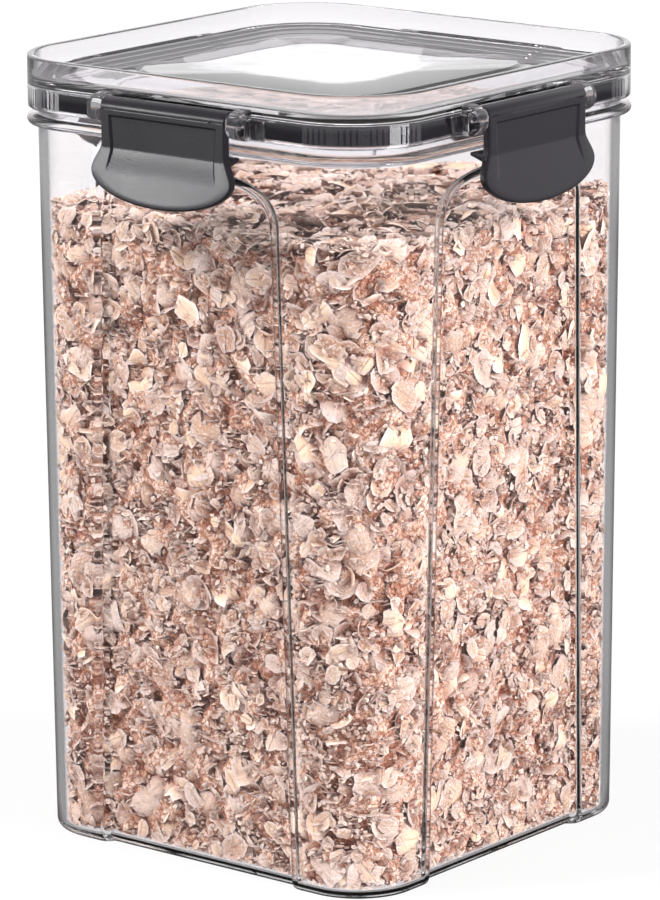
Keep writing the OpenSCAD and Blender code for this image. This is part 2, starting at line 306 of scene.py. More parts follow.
class NodeSheet:
    """Short hand for laying out a material's nodes."""

    def __init__(self, name: str, tree: bpy.types.NodeTree | None = None) -> None:
        """Starts an empty material with an output node, or empties the given tree.

        Args:
            name: Name of the material.
            tree: Tree to lay the nodes out in, when it isn't a material's.
        """
        if tree is None:
            self.material = bpy.data.materials.new(name)
            self.material.use_nodes = True
        self.tree = tree or self.material.node_tree
        self.tree.nodes.clear()
        self.output = None if tree else self.tree.nodes.new("ShaderNodeOutputMaterial")

    def node(self, kind: str, inputs: dict[str | int, object] | None = None,
             **settings: object) -> bpy.types.Node:
        """Adds a node; an input that is a socket is linked, and any other value is set.

        Args:
            kind: Blender's node type.
            inputs: Values or sockets by input name or number.
            **settings: Properties of the node.

        Returns:
            The new node.
        """
        made = self.tree.nodes.new(kind)
        for key, value in settings.items():
            setattr(made, key, value)
        for key, value in (inputs or {}).items():
            if isinstance(value, Socket):
                self.tree.links.new(value, made.inputs[key])
            else:
                made.inputs[key].default_value = value
        return made

    def ramp(self, factor: Socket, stops: list[tuple[float, Colour]]) -> Socket:
        """Adds a colour ramp.

        Args:
            factor: What it is read at.
            stops: Places from 0 to 1 with their colours.

        Returns:
            Its colour socket.
        """
        made = self.node("ShaderNodeValToRGB", {0: factor})
        elements = made.color_ramp.elements
        while len(elements) < len(stops):
            elements.new(0.5)
        for element, (place, colour) in zip(elements, stops):
            element.position, element.color = place, (*colour, 1.0)
        return made.outputs[0]

    def tones(self, factor: Socket, colours: tuple[Colour, ...]) -> Socket:
        """Adds a ramp of evenly spaced colours and returns its colour socket."""
        return self.ramp(factor, [(i / (len(colours) - 1), c) for i, c in enumerate(colours)])

    def mark(self, name: str) -> Socket:
        """Adds a point attribute of the mesh and returns its value socket."""
        return self.node("ShaderNodeAttribute", attribute_name=name).outputs["Fac"]

    def place(self) -> Socket:
        """Adds the place within the object, in metres, and returns its socket."""
        return self.node("ShaderNodeTexCoord").outputs["Object"]

    def span(self, value: Socket, low: object, high: object, first: object, last: object,
             ease: bool = False) -> Socket:
        """Carries low to high over to first to last, with a smooth step if asked."""
        return self.node("ShaderNodeMapRange", {0: value, 1: low, 2: high, 3: first, 4: last},
                         interpolation_type="SMOOTHSTEP" if ease else "LINEAR").outputs[0]

    def bump(self, strength: float, distance: float, height: Socket) -> Socket:
        """Adds a bump whose height is scaled by the distance in metres; returns its normal socket."""
        return self.node("ShaderNodeBump", {"Strength": strength, "Distance": distance,
                                            "Height": height}).outputs[0]

    def principled(self, colour: Socket, roughness: object, normal: Socket, **more: float) -> Socket:
        """Adds a principled shader.

        Args:
            colour: Base colour.
            roughness: Roughness, a value or a socket.
            normal: Normal from a bump.
            **more: Values of more inputs, with underscores for the blanks in their names.

        Returns:
            Its shader socket.
        """
        inputs = {key.replace("_", " "): value for key, value in more.items()}
        return self.node("ShaderNodeBsdfPrincipled", {
            "Base Color": colour, "Roughness": roughness, "Normal": normal, **inputs}).outputs[0]

    def math(self, operation: str, a: object, b: object = 0.0, clamp: bool = False) -> Socket:
        """Adds a maths node and returns its value socket."""
        return self.node("ShaderNodeMath", {0: a, 1: b}, operation=operation, use_clamp=clamp).outputs[0]

    def times(self, a: object, b: object) -> Socket:
        """Adds a product and returns its value socket."""
        return self.math("MULTIPLY", a, b)

    def noise(self, vector: Socket, scale: float, detail: float = 3.0, rough: float = 0.5) -> Socket:
        """Adds a noise texture and returns its value socket."""
        return self.node("ShaderNodeTexNoise", {"Vector": vector, "Scale": scale, "Detail": detail,
                                                "Roughness": rough}).outputs[0]

    def mix(self, factor: object, a: object, b: object, blend: str = "MIX") -> Socket:
        """Adds a mix of two colours.

        Args:
            factor: Share of the second one.
            a: First colour, plain or a socket.
            b: Second colour, plain or a socket.
            blend: Blender's name for how they are blended.

        Returns:
            Its colour socket.
        """
        a, b = ((*v, 1.0) if isinstance(v, tuple) else v for v in (a, b))
        return self.node("ShaderNodeMix", {0: factor, 6: a, 7: b}, data_type="RGBA",
                         blend_type=blend).outputs[2]

    def shaded(self, deep: Socket, colour: Socket, shade: Colour) -> Socket:
        """Paints shade: multiplies a colour by the shade colour as far as it lies deep, and returns its
        socket.
        """
        return self.mix(deep, colour, self.mix(1.0, colour, shade, "MULTIPLY"))

    def finish(self, shader: Socket) -> bpy.types.Material:
        """Links the shader to the output and returns the material."""
        self.tree.links.new(shader, self.output.inputs[0])
        return self.material


@dataclass(frozen=True)
class ClearPlastic:
    """Clear moulded plastic that darkens where its edges and folds turn away: partly its own tint, partly
    painted shade.

    Attributes:
        name: Name of the material.
        tint: Colour of light that passes straight through a wall.
        edge: Colour at the edges, partly the plastic's tint and partly painted shade.
        most: Most that the painted edge shade hides.
        ripple: Strength of the moulding ripple.
        fold: Amounts of painted shade on a fold of the wall, as (how far it has turned away, share).
    """

    name: str
    tint: Colour
    edge: Colour
    most: float = 0.9
    ripple: float = 0.03
    fold: tuple[tuple[float, float], ...] = (
        (0.26, 0.0), (0.31, 0.2), (0.36, 0.25), (0.42, 0.5), (0.56, 0.6), (0.64, 1.0), (1.0, 1.0))

    def make(self) -> bpy.types.Material:
        """Makes the material: one glass shader whose colour and clearness follow the painted edge shade.

        The painted edge shade is the largest of the "line" attribute, a smooth step of how far the surface
        turns away, which starts sooner where the "turn" attribute is high, and the "fold" attribute
        times the fold's amounts.
        Lamps and the light that the contents scatter pass straight through it.

        Returns:
            The material.
        """
        s = NodeSheet(self.name)
        away = s.node("ShaderNodeLayerWeight", {"Blend": 0.5}).outputs["Facing"]
        painted_fold_shade = s.ramp(away, [(place, (v, v, v)) for place, v in self.fold])
        turn, line, fold = (s.mark(name) for name in ("turn", "line", "fold"))
        # Painted shade: the turn, line and fold marks and the facing decide how dark the edges are painted.
        start = s.math("SUBTRACT", 0.92, s.times(turn, 0.42))
        step = s.span(away, start, s.math("ADD", start, 0.2), 0.0, self.most, ease=True)
        painted_edge_shade = s.math("MAXIMUM", step, line)
        painted_edge_shade = s.math("MAXIMUM", painted_edge_shade, s.times(painted_fold_shade, fold), clamp=True)
        bump = s.bump(self.ripple, 0.002, s.noise(s.place(), 55.0, 2.0))
        # Painted shade: the glass colour turns to the edge colour as far as the painted edge shade reaches.
        colour = s.mix(painted_edge_shade, self.tint, self.edge)
        glass = s.principled(colour, 0.03, bump, IOR=1.49, Transmission_Weight=1.0)
        through = s.node("ShaderNodeBsdfTransparent", {0: (*[v ** 0.5 for v in self.tint], 1)}).outputs[0]
        path = s.node("ShaderNodeLightPath").outputs
        soft = s.math("MAXIMUM", path["Is Shadow Ray"], path["Is Diffuse Ray"])
        return s.finish(s.node("ShaderNodeMixShader", {0: soft, 1: glass, 2: through}).outputs[0])


@dataclass(frozen=True)
class SatinPlastic:
    """Dark satin plastic of the clips, with a fine moulded grain.

    Attributes:
        name: Name of the material.
        base: Its colour.
        roughness: Mean roughness.
        grain: Size of the grain, as noise cells to the metre.
    """

    name: str
    base: Colour
    roughness: float = 0.4
    grain: float = 2600.0

    def make(self) -> bpy.types.Material:
        """Makes the material: colour and roughness vary with wide noise, and fine noise is its bump.

        Returns:
            The material.
        """
        s = NodeSheet(self.name)
        place = s.place()
        cloud = s.noise(place, 40.0, 3.0)
        fine = s.noise(place, self.grain, 2.0)
        colour = s.mix(cloud, self.base, tuple(min(1.0, v * 1.18) for v in self.base))
        rough = s.span(cloud, 0.3, 0.7, self.roughness - 0.03, self.roughness + 0.04)
        bump = s.bump(0.12, 0.0002, fine)
        return s.finish(s.principled(colour, rough, bump, IOR=1.45, Specular_IOR_Level=0.26))


@dataclass(frozen=True)
class SealRubber:
    """Dark matt rubber of the sealing ring."""

    name: str = "seal_rubber"
    base: Colour = (0.005, 0.0042, 0.0065)

    def make(self) -> bpy.types.Material:
        """Makes the material: a matt colour with a faint mottle and a fine bump.

        Returns:
            The material.
        """
        s = NodeSheet(self.name)
        mottle = s.noise(s.place(), 140.0, 3.0)
        colour = s.mix(mottle, self.base, tuple(v * 1.35 for v in self.base))
        bump = s.bump(0.1, 0.0003, mottle)
        return s.finish(s.principled(colour, 0.62, bump, Specular_IOR_Level=0.15))


@dataclass(frozen=True)
class OatSkin:
    """Rolled oat: matt tan flakes, some floury and pitted and some smooth, with browner painted shade where
    buried.

    Attributes:
        name: Name of the material.
        tones: Colours from the darkest flakes to the palest.
        straw: Colour of the yellowest flakes.
        floury: Colour of the loose flour on them.
        bran: Colour of the streaks, pits and creases.
        shade: The painted shade, which their colour is multiplied by where they lie deep.
    """

    name: str = "rolled_oat"
    tones: tuple[Colour, ...] = (
        (0.54, 0.28, 0.17), (0.76, 0.51, 0.37), (0.86, 0.64, 0.51), (0.91, 0.72, 0.62))
    straw: Colour = (0.84, 0.64, 0.44)
    floury: Colour = (0.96, 0.84, 0.80)
    bran: Colour = (0.46, 0.21, 0.13)
    shade: Colour = (0.40, 0.15, 0.10)

    def make(self) -> bpy.types.Material:
        """Makes the material from the flakes' attributes and their own UV map.

        The UV map is in millimetres, u along the flake. "tone" and "hue" are drawn for each flake,
        "rim" is 1 at its edge, "seam" runs from -1 to 1 across it and "deep" from 0 at the wall to
        1, and sets how much painted shade a flake gets. Streaks are noise drawn out along u; the crease is
        exp(-(seam / 0.1) ** 2).

        Returns:
            The material.
        """
        s = NodeSheet(self.name)
        own = s.node("ShaderNodeUVMap", uv_map="flake").outputs[0]
        tone, hue, rim, seam, deep = (s.mark(name) for name in FLAKE_MARKS)
        drawn = s.node("ShaderNodeMapping", {"Vector": own, "Scale": (0.35, 1.7, 1.0)}).outputs[0]
        streak = s.noise(drawn, 1.0, 5.0, 0.65)
        speck = s.noise(own, 1.5, 6.0, 0.72)
        cloud = s.noise(own, 0.35, 2.0)
        crease = s.math("EXPONENT", s.times(s.math("POWER", s.times(seam, 10.0), 2.0), -1.0))
        rough = s.math("SUBTRACT", 1.0, s.times(hue, 1.2), clamp=True)
        shifted = s.math("ADD", tone, s.times(s.math("SUBTRACT", cloud, 0.5), 0.6), clamp=True)
        base = s.mix(hue, s.tones(shifted, self.tones), self.straw)
        lines = s.span(streak, 0.54, 0.70, 0.0, 0.7)
        lines = s.times(s.math("MAXIMUM", lines, s.times(crease, 0.3)), rough)
        streaked = s.mix(lines, base, self.bran)
        flour = s.span(speck, 0.50, 0.60, 0.0, 0.9)
        flour = s.math("MAXIMUM", s.times(flour, rough), s.times(rim, 0.7))
        dusted = s.mix(flour, streaked, self.floury)
        height = s.times(s.math("ADD", s.times(streak, 1.2), s.times(speck, 1.6)), s.math("ADD", rough, 0.25))
        bump = s.bump(1.0, 0.0006, s.math("SUBTRACT", height, s.times(crease, 0.6)))
        # Painted shade: the colour is multiplied by the shade colour where the flake lies deep behind the
        # wall or under the heap.
        return s.finish(s.principled(s.shaded(deep, dusted, self.shade), OAT_ROUGH, bump,
                                     Specular_IOR_Level=OAT_SHINE))


@dataclass(frozen=True)
class OatBed:
    """Crumbs and flour packed between the flakes.

    Attributes:
        name: Name of the material.
        tones: Colours of the crumbs from the darkest to the palest.
        gap: Colour deep between them.
        shade: What their colour is multiplied by where they lie deep.
    """

    name: str = "oat_crumbs"
    tones: tuple[Colour, ...] = (
        (0.52, 0.30, 0.19), (0.78, 0.55, 0.42), (0.89, 0.69, 0.58), (0.93, 0.78, 0.71))
    # gap: Colour of the painted shade deep between them.
    gap: Colour = (0.35, 0.145, 0.085)
    # shade: The painted shade, which their colour is multiplied by where they lie deep.
    shade: Colour = (0.52, 0.27, 0.185)

    def make(self) -> bpy.types.Material:
        """Makes the material: cells of two Voronoi patterns, about 1.1 and 0.45 mm, over the piece.

        Each cell has one colour, is raised in its middle and has painted shade at its edge. "deep" runs from
        0 at the wall to 1 and sets the painted shade where the bed lies deep.

        Returns:
            The material.
        """
        s = NodeSheet(self.name)
        where = s.node("ShaderNodeMapping", {"Vector": s.place(), "Scale": (1 / MM,) * 3}).outputs[0]
        bent = s.node("ShaderNodeVectorMath", {0: where, 1: s.node("ShaderNodeTexNoise", {
            "Vector": where, "Scale": 1.3, "Detail": 2.0}).outputs["Color"]}, operation="ADD").outputs[0]
        coarse = s.node("ShaderNodeTexVoronoi", {"Vector": bent, "Scale": 0.9})
        fine = s.node("ShaderNodeTexVoronoi", {"Vector": bent, "Scale": 2.3})
        pick = s.node("ShaderNodeSeparateColor", {0: fine.outputs["Color"]}).outputs[0]
        wide = s.node("ShaderNodeSeparateColor", {0: coarse.outputs["Color"]}).outputs[1]
        tone = s.math("ADD", s.times(pick, 0.45), s.times(wide, 0.55))
        big, small = coarse.outputs["Distance"], fine.outputs["Distance"]
        # Painted shade: the gap colour where the cells meet, in place of the shadow between crumbs.
        crevice_shade = s.span(s.times(big, s.math("ADD", small, 0.5)), 0.36, 0.75, 0.0, 0.9)
        crumbs = s.mix(crevice_shade, s.tones(tone, self.tones), self.gap)
        bump = s.bump(1.0, 0.0008, s.times(s.math("ADD", big, s.times(small, 0.45)), -1.0))
        # Painted shade again where the bed lies deep.
        return s.finish(s.principled(s.shaded(s.mark("deep"), crumbs, self.shade), OAT_ROUGH, bump,
                                     Specular_IOR_Level=OAT_SHINE))


@dataclass
class Jar:
    """Drafted square jar with a sunk panel in each side, a bead and a thin neck.

    Lengths are in mm. Half widths are measured from the axis to a flat side. The turns are values
    of the "turn" attribute, which sets how soon the painted edge shade starts. The last three are
    the numbers of grid lines round a corner, up beside an arch and across over it.
    """

    neck_half: float = 52.7
    base_half: float = 51.2
    wall: float = 1.8
    bead_z: float = 168.55
    bead_h: float = 2.1
    bead_out: float = 2.5
    neck_top: float = 173.15
    floor_t: float = 1.5
    foot_w: float = 6.0
    foot_h: float = 0.4
    base_edge: float = 2.0
    floor_edge: float = 1.25
    panel_depth: float = 2.0
    panel_half_top: float = 24.0
    panel_half_base: float = 27.7
    shoulder_z: float = 150.05
    arch_h: float = 12.0
    power: float = 2.9
    patch_top: float = 165.5
    fold_r: float = 2.6
    inner_run: float = 0.85
    nook_r: float = 0.35
    rim_r: float = 0.45
    flat_turn: float = 0.1
    corner_turn: float = 0.62
    floor_rings: tuple[float, ...] = (38.0, 20.0, 0.0)
    corner: int = 20
    rise: int = 12
    crown: int = 44

    def half_at(self, z: Array) -> Array:
        """Half width of the outer wall at a height, from the draft."""
        return self.base_half + (self.neck_half - self.base_half) * np.minimum(z, self.bead_z) / self.bead_z

    def panel_half(self, z: Array) -> Array:
        """Half width of a panel's outline at a height up to its shoulders."""
        share = np.clip(z / self.shoulder_z, 0, 1)
        return self.panel_half_base + (self.panel_half_top - self.panel_half_base) * share

    def arch(self, grow: float, lines: int) -> tuple[Array, Array]:
        """Arch over a panel: |x / a| ** p + |z / b| ** p = 1, sampled where it turns most.

        Args:
            grow: How far the outline is grown.
            lines: Number of points.

        Returns:
            Points of (lines, 2) from the left shoulder to the right, and their outward normals.
        """
        a, b, p = self.panel_half_top + grow, self.arch_h + grow, self.power
        t = np.linspace(np.pi, 0, 4001)
        c, s = np.cos(t), np.maximum(np.sin(t), 0)
        x, z = a * np.sign(c) * np.abs(c) ** (2 / p), b * s ** (2 / p)
        nx = np.sign(x) * np.abs(x / a) ** (p - 1) / a
        nz = np.abs(z / b) ** (p - 1) / b
        size = np.hypot(nx, nz)
        nx, nz = nx / size, nz / size
        turned = np.abs(np.diff(np.unwrap(np.arctan2(nz, nx))))
        to_the_radian = 7.0
        travel = np.concatenate([[0], np.cumsum(np.hypot(np.diff(x), np.diff(z)) + to_the_radian * turned)])
        at = np.linspace(0, travel[-1], lines)
        pick = [np.interp(at, travel, v) for v in (x, z, nx, nz)]
        points, normals = np.stack(pick[:2], 1), np.stack(pick[2:], 1)
        points[0], points[-1] = (-a, 0), (a, 0)
        normals[0], normals[-1] = (-1, 0), (1, 0)
        points[:, 1] += self.shoulder_z
        return points, normals / np.linalg.norm(normals, axis=1, keepdims=True)

    def sink(self, inside: Array) -> Array:
        """Depth of the inner wall inside its outline: a smooth step to the full depth."""
        return self.panel_depth * smooth(inside, -0.1, self.inner_run - 0.1)

    def legs(self, outer: bool) -> Array:
        """Rows of a wall up to the shoulders: half width, height and share of the panel's depth.

        The outer wall starts at the foot's inner edge and turns round the base edge; the inner
        wall starts on the floor and turns up through the floor's fillet.

        Args:
            outer: Whether this is the outer wall.

        Returns:
            Array of (rows, 3).
        """
        heights = np.linspace(8, self.shoulder_z, 14)
        if outer:
            turn = arc_points((self.base_half - self.base_edge, self.base_edge), self.base_edge, -90, 0, 8)
            start = np.array([[self.base_half - back, 0.0] for back in (self.foot_w, 4.4, 3.2)])
            share = np.concatenate([[0.0, 0.45, 0.8], np.ones(len(turn) + len(heights))])
        else:
            inside, lift = self.base_half - self.wall, self.floor_t + self.floor_edge
            turn = arc_points((inside - self.floor_edge, lift), self.floor_edge, -90, 0, 8)
            start = np.array([[inside - back, self.floor_t] for back in (9.0, 7.0, 5.0)])
            share = np.concatenate([[0.0, 0.4, 0.8], np.ones(len(turn) + len(heights))])
        wall = np.stack([self.half_at(heights) - (0.0 if outer else self.wall), heights], 1)
        return np.column_stack([np.concatenate([start, turn, wall]), share])

    def edge(self, outer: bool) -> tuple[Array, Array, Array]:
        """Section of a panel's edge, from inside out.

        Outside, the wall bends in by an arc of radius fold_r, R sin a along and R (1 - cos a) in,
        and meets the panel in a small fillet. Inside, it is a smooth step.

        Args:
            outer: Whether this is the outer wall.

        Returns:
            Distances inside the outline, depths, and how much of the "fold" attribute, the painted shade of
            the fold, each has.
        """
        if not outer:
            d = np.concatenate([[self.inner_run + 0.5], np.linspace(self.inner_run - 0.1, -0.1, 9), [-0.45]])
            return d, self.sink(d), 0.25 * np.exp(-((d / self.inner_run) ** 2))
        a = np.radians([70.0, 58.0, 46.0, 35.0, 25.0, 16.0, 8.0, 0.0])
        d = self.fold_r * (np.sin(a) - np.sin(a[0])) + 0.03
        d = np.concatenate([[0.9, 0.34, 0.15], d, [d[-1] - 0.5]])
        depth = np.concatenate([[2.0, 2.0, 1.94], self.fold_r * (1 - np.cos(a)), [0.0]])
        fold = np.concatenate([[0.0, 0.6], np.ones(len(a)), [0.0, 0.0]])
        return d, depth * self.panel_depth / 2.0, fold

    def side(self, work: Patchwork, outer: bool) -> Array:
        """Adds one wall surface of all four sides up to the top of the patch.

        Lines run from the middle of the panel out across its edge to the side's straight edge:
        level lines up to the shoulders, and lines that fan out from the middle above them. The
        wall moves in by the panel's depth.

        Args:
            work: Mesh that the grids are added to.
            outer: Whether this is the outer surface.

        Returns:
            The places of the top columns along the side, as fractions from -1 to 1.
        """
        grow = 0.0 if outer else self.wall
        rows = self.legs(outer)
        d, sunk, fold = self.edge(outer)
        half = self.panel_half(rows[:, 1]) + grow
        inner_x = np.linspace(0, 1, 5)[None, :-1] * (half[:, None] - d[0])
        edge_x = half[:, None] - d[None, :]
        outer_x = edge_x[:, -1:] + (CORE - edge_x[:, -1:]) * np.linspace(0, 1, 5)[None, 1:]
        x = np.concatenate([inner_x, edge_x, outer_x], 1)
        depth = np.concatenate([np.full(4, self.panel_depth), sunk, np.zeros(4)])
        fold = np.concatenate([np.zeros(4), fold, np.zeros(4)])
        y = -(rows[:, :1] - rows[:, 2:] * depth[None, :])
        z = np.broadcast_to(rows[:, 1:2], x.shape)
        right = np.stack([x, y, z], -1)
        left = right[:, ::-1] * np.array([-1, 1, 1])
        turn = self.turned(rows[:, 0], rows[:, 1])
        share = rows[:, 2:] * fold[None, :]
        for k in range(4):
            work.pane(quarter_turns(right, k), turn, share, flip=not outer)
            work.pane(quarter_turns(left, k), turn, share[:, ::-1], flip=not outer)

        lines = 2 * self.rise + self.crown + 1
        arch, normal = self.arch(grow, lines)
        up = np.linspace(self.shoulder_z, self.patch_top, self.rise + 1)
        across = np.linspace(-CORE, CORE, self.crown + 1)
        rim = np.concatenate([
            np.stack([np.full(self.rise, -CORE), up[:-1]], 1),
            np.stack([across, np.full(self.crown + 1, self.patch_top)], 1),
            np.stack([np.full(self.rise, CORE), up[:-1][::-1]], 1)])
        edge = arch[:, None, :] - normal[:, None, :] * d[None, :, None]
        middle = np.array([0.0, self.shoulder_z])
        inner = middle + (edge[:, :1] - middle) * np.linspace(0, 1, 5)[None, :-1, None]
        outside = edge[:, -1:] + (rim[:, None] - edge[:, -1:]) * np.linspace(0, 1, 5)[None, 1:, None]
        fan = np.concatenate([inner, edge, outside], 1)
        half = self.half_at(fan[..., 1]) - grow
        grid = np.stack([fan[..., 0], -(half - depth[None, :]), fan[..., 1]], -1)
        for k in range(4):
            work.pane(quarter_turns(grid, k), self.flat_turn, fold[None, :], flip=outer)

        angle = np.linspace(0, np.pi / 2, self.corner + 1)[None, :]
        tall = np.concatenate([rows[:, 1], up[1:]])
        half = np.concatenate([rows[:, 0], self.half_at(up[1:]) - grow])
        radius = (half - CORE)[:, None]
        bend = np.stack([CORE + radius * np.sin(angle), -CORE - radius * np.cos(angle),
                         np.broadcast_to(tall[:, None], (len(tall), self.corner + 1))], -1)
        # The corners get more painted edge shade than the flat sides.
        across_bend = np.full(self.corner + 1, self.corner_turn)
        across_bend[[0, -1]] = self.flat_turn
        turn = np.maximum(self.turned(half, tall), across_bend[None, :])
        for k in range(4):
            work.pane(quarter_turns(bend, k), turn, flip=not outer)
        self.close(work, outer, rows, x[0])
        return across / CORE

    def turned(self, half: Array, z: Array) -> Array:
        """The "turn" attribute of a wall's rows, for the painted edge shade: full round the base edge and low
        above it.
        """
        reach = self.base_edge + 0.1
        return np.where((z < reach) & (half > self.base_half - reach), 1.0, self.flat_turn)[:, None]

    def close(self, work: Patchwork, outer: bool, rows: Array, columns: Array) -> None:
        """Adds the underside within the foot, or the floor, down to one point on the axis.

        Args:
            work: Mesh that the grid is added to.
            outer: Whether this is the underside.
            rows: The wall's rows, whose first one the grid meets.
            columns: The wall's columns in that row, from the middle out.
        """
        fractions = np.concatenate([-columns[::-1], columns[1:]]) / CORE
        first = rows[0, 0]
        if outer:
            half = np.array([first, first - 0.1, first - 0.3, first - 0.5, *self.floor_rings])
            z = self.foot_h * np.array([0.0, 0.45, 0.9, 1.0, 1.0, 1.0, 1.0])
        else:
            half = np.array([first, *self.floor_rings])
            z = np.full(len(half), self.floor_t)
        centre = np.where(half > CORE + 1, CORE, half * 0.9)
        grid = around(half, z, fractions, self.corner, half - centre)
        work.pane(grid, self.flat_turn, wrap=True, flip=outer)

    def collar(self, work: Patchwork, fractions: Array) -> None:
        """Adds the top of the wall: out round the bead, up the neck, over its rim and down inside.

        Args:
            work: Mesh that the grid is added to.
            fractions: Places of the columns along a side.
        """
        r, tip = self.bead_h / 2, self.neck_half + self.bead_out
        low, high = self.bead_z, self.bead_z + self.bead_h
        start, nook, rim, inside = self.patch_top, self.nook_r, self.rim_r, self.neck_half - self.wall
        first = self.half_at(np.array(start))
        outside = np.concatenate([
            [[first, start], [self.half_at(np.array(low - 0.6)), low - 0.6]],
            arc_points((self.neck_half + nook, low - nook), nook, 180, 90, 4),
            arc_points((tip - r, low + r), r, -90, 90, 12),
            arc_points((self.neck_half + nook, high + nook), nook, 270, 180, 4),
            arc_points((self.neck_half - rim, self.neck_top - rim), rim, 0, 90, 5),
            arc_points((inside + rim, self.neck_top - rim), rim, 90, 180, 5),
            [[inside, low], [first - self.wall, start]]])
        # Painted edge shade in full over the bead and the neck's rim.
        turn = np.where(outside[:, 1] > low - 0.7, 1.0, self.flat_turn)
        turn[-2:] = self.flat_turn
        grid = around(outside[:, 0], outside[:, 1], fractions, self.corner)
        bend = np.full(len(fractions) - 1 + self.corner, self.corner_turn)
        bend[: len(fractions)] = 0.0
        work.pane(grid, np.maximum(turn[:, None], np.tile(bend, 4)[None, :]), wrap=True)

    def build(self, finish: bpy.types.Material) -> bpy.types.Object:
        """Builds the jar as one closed shell and dresses it.

        Args:
            finish: Its material.

        Returns:
            The jar.
        """
        work = Patchwork()
        self.side(work, outer=True)
        fractions = self.side(work, outer=False)
        self.collar(work, fractions)
        jar = dress(work.build("jar_clear"), finish, "jar")
        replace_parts(jar, "jar_body")
        return jar


# ---- lid -------------------------------------------------------------------------------


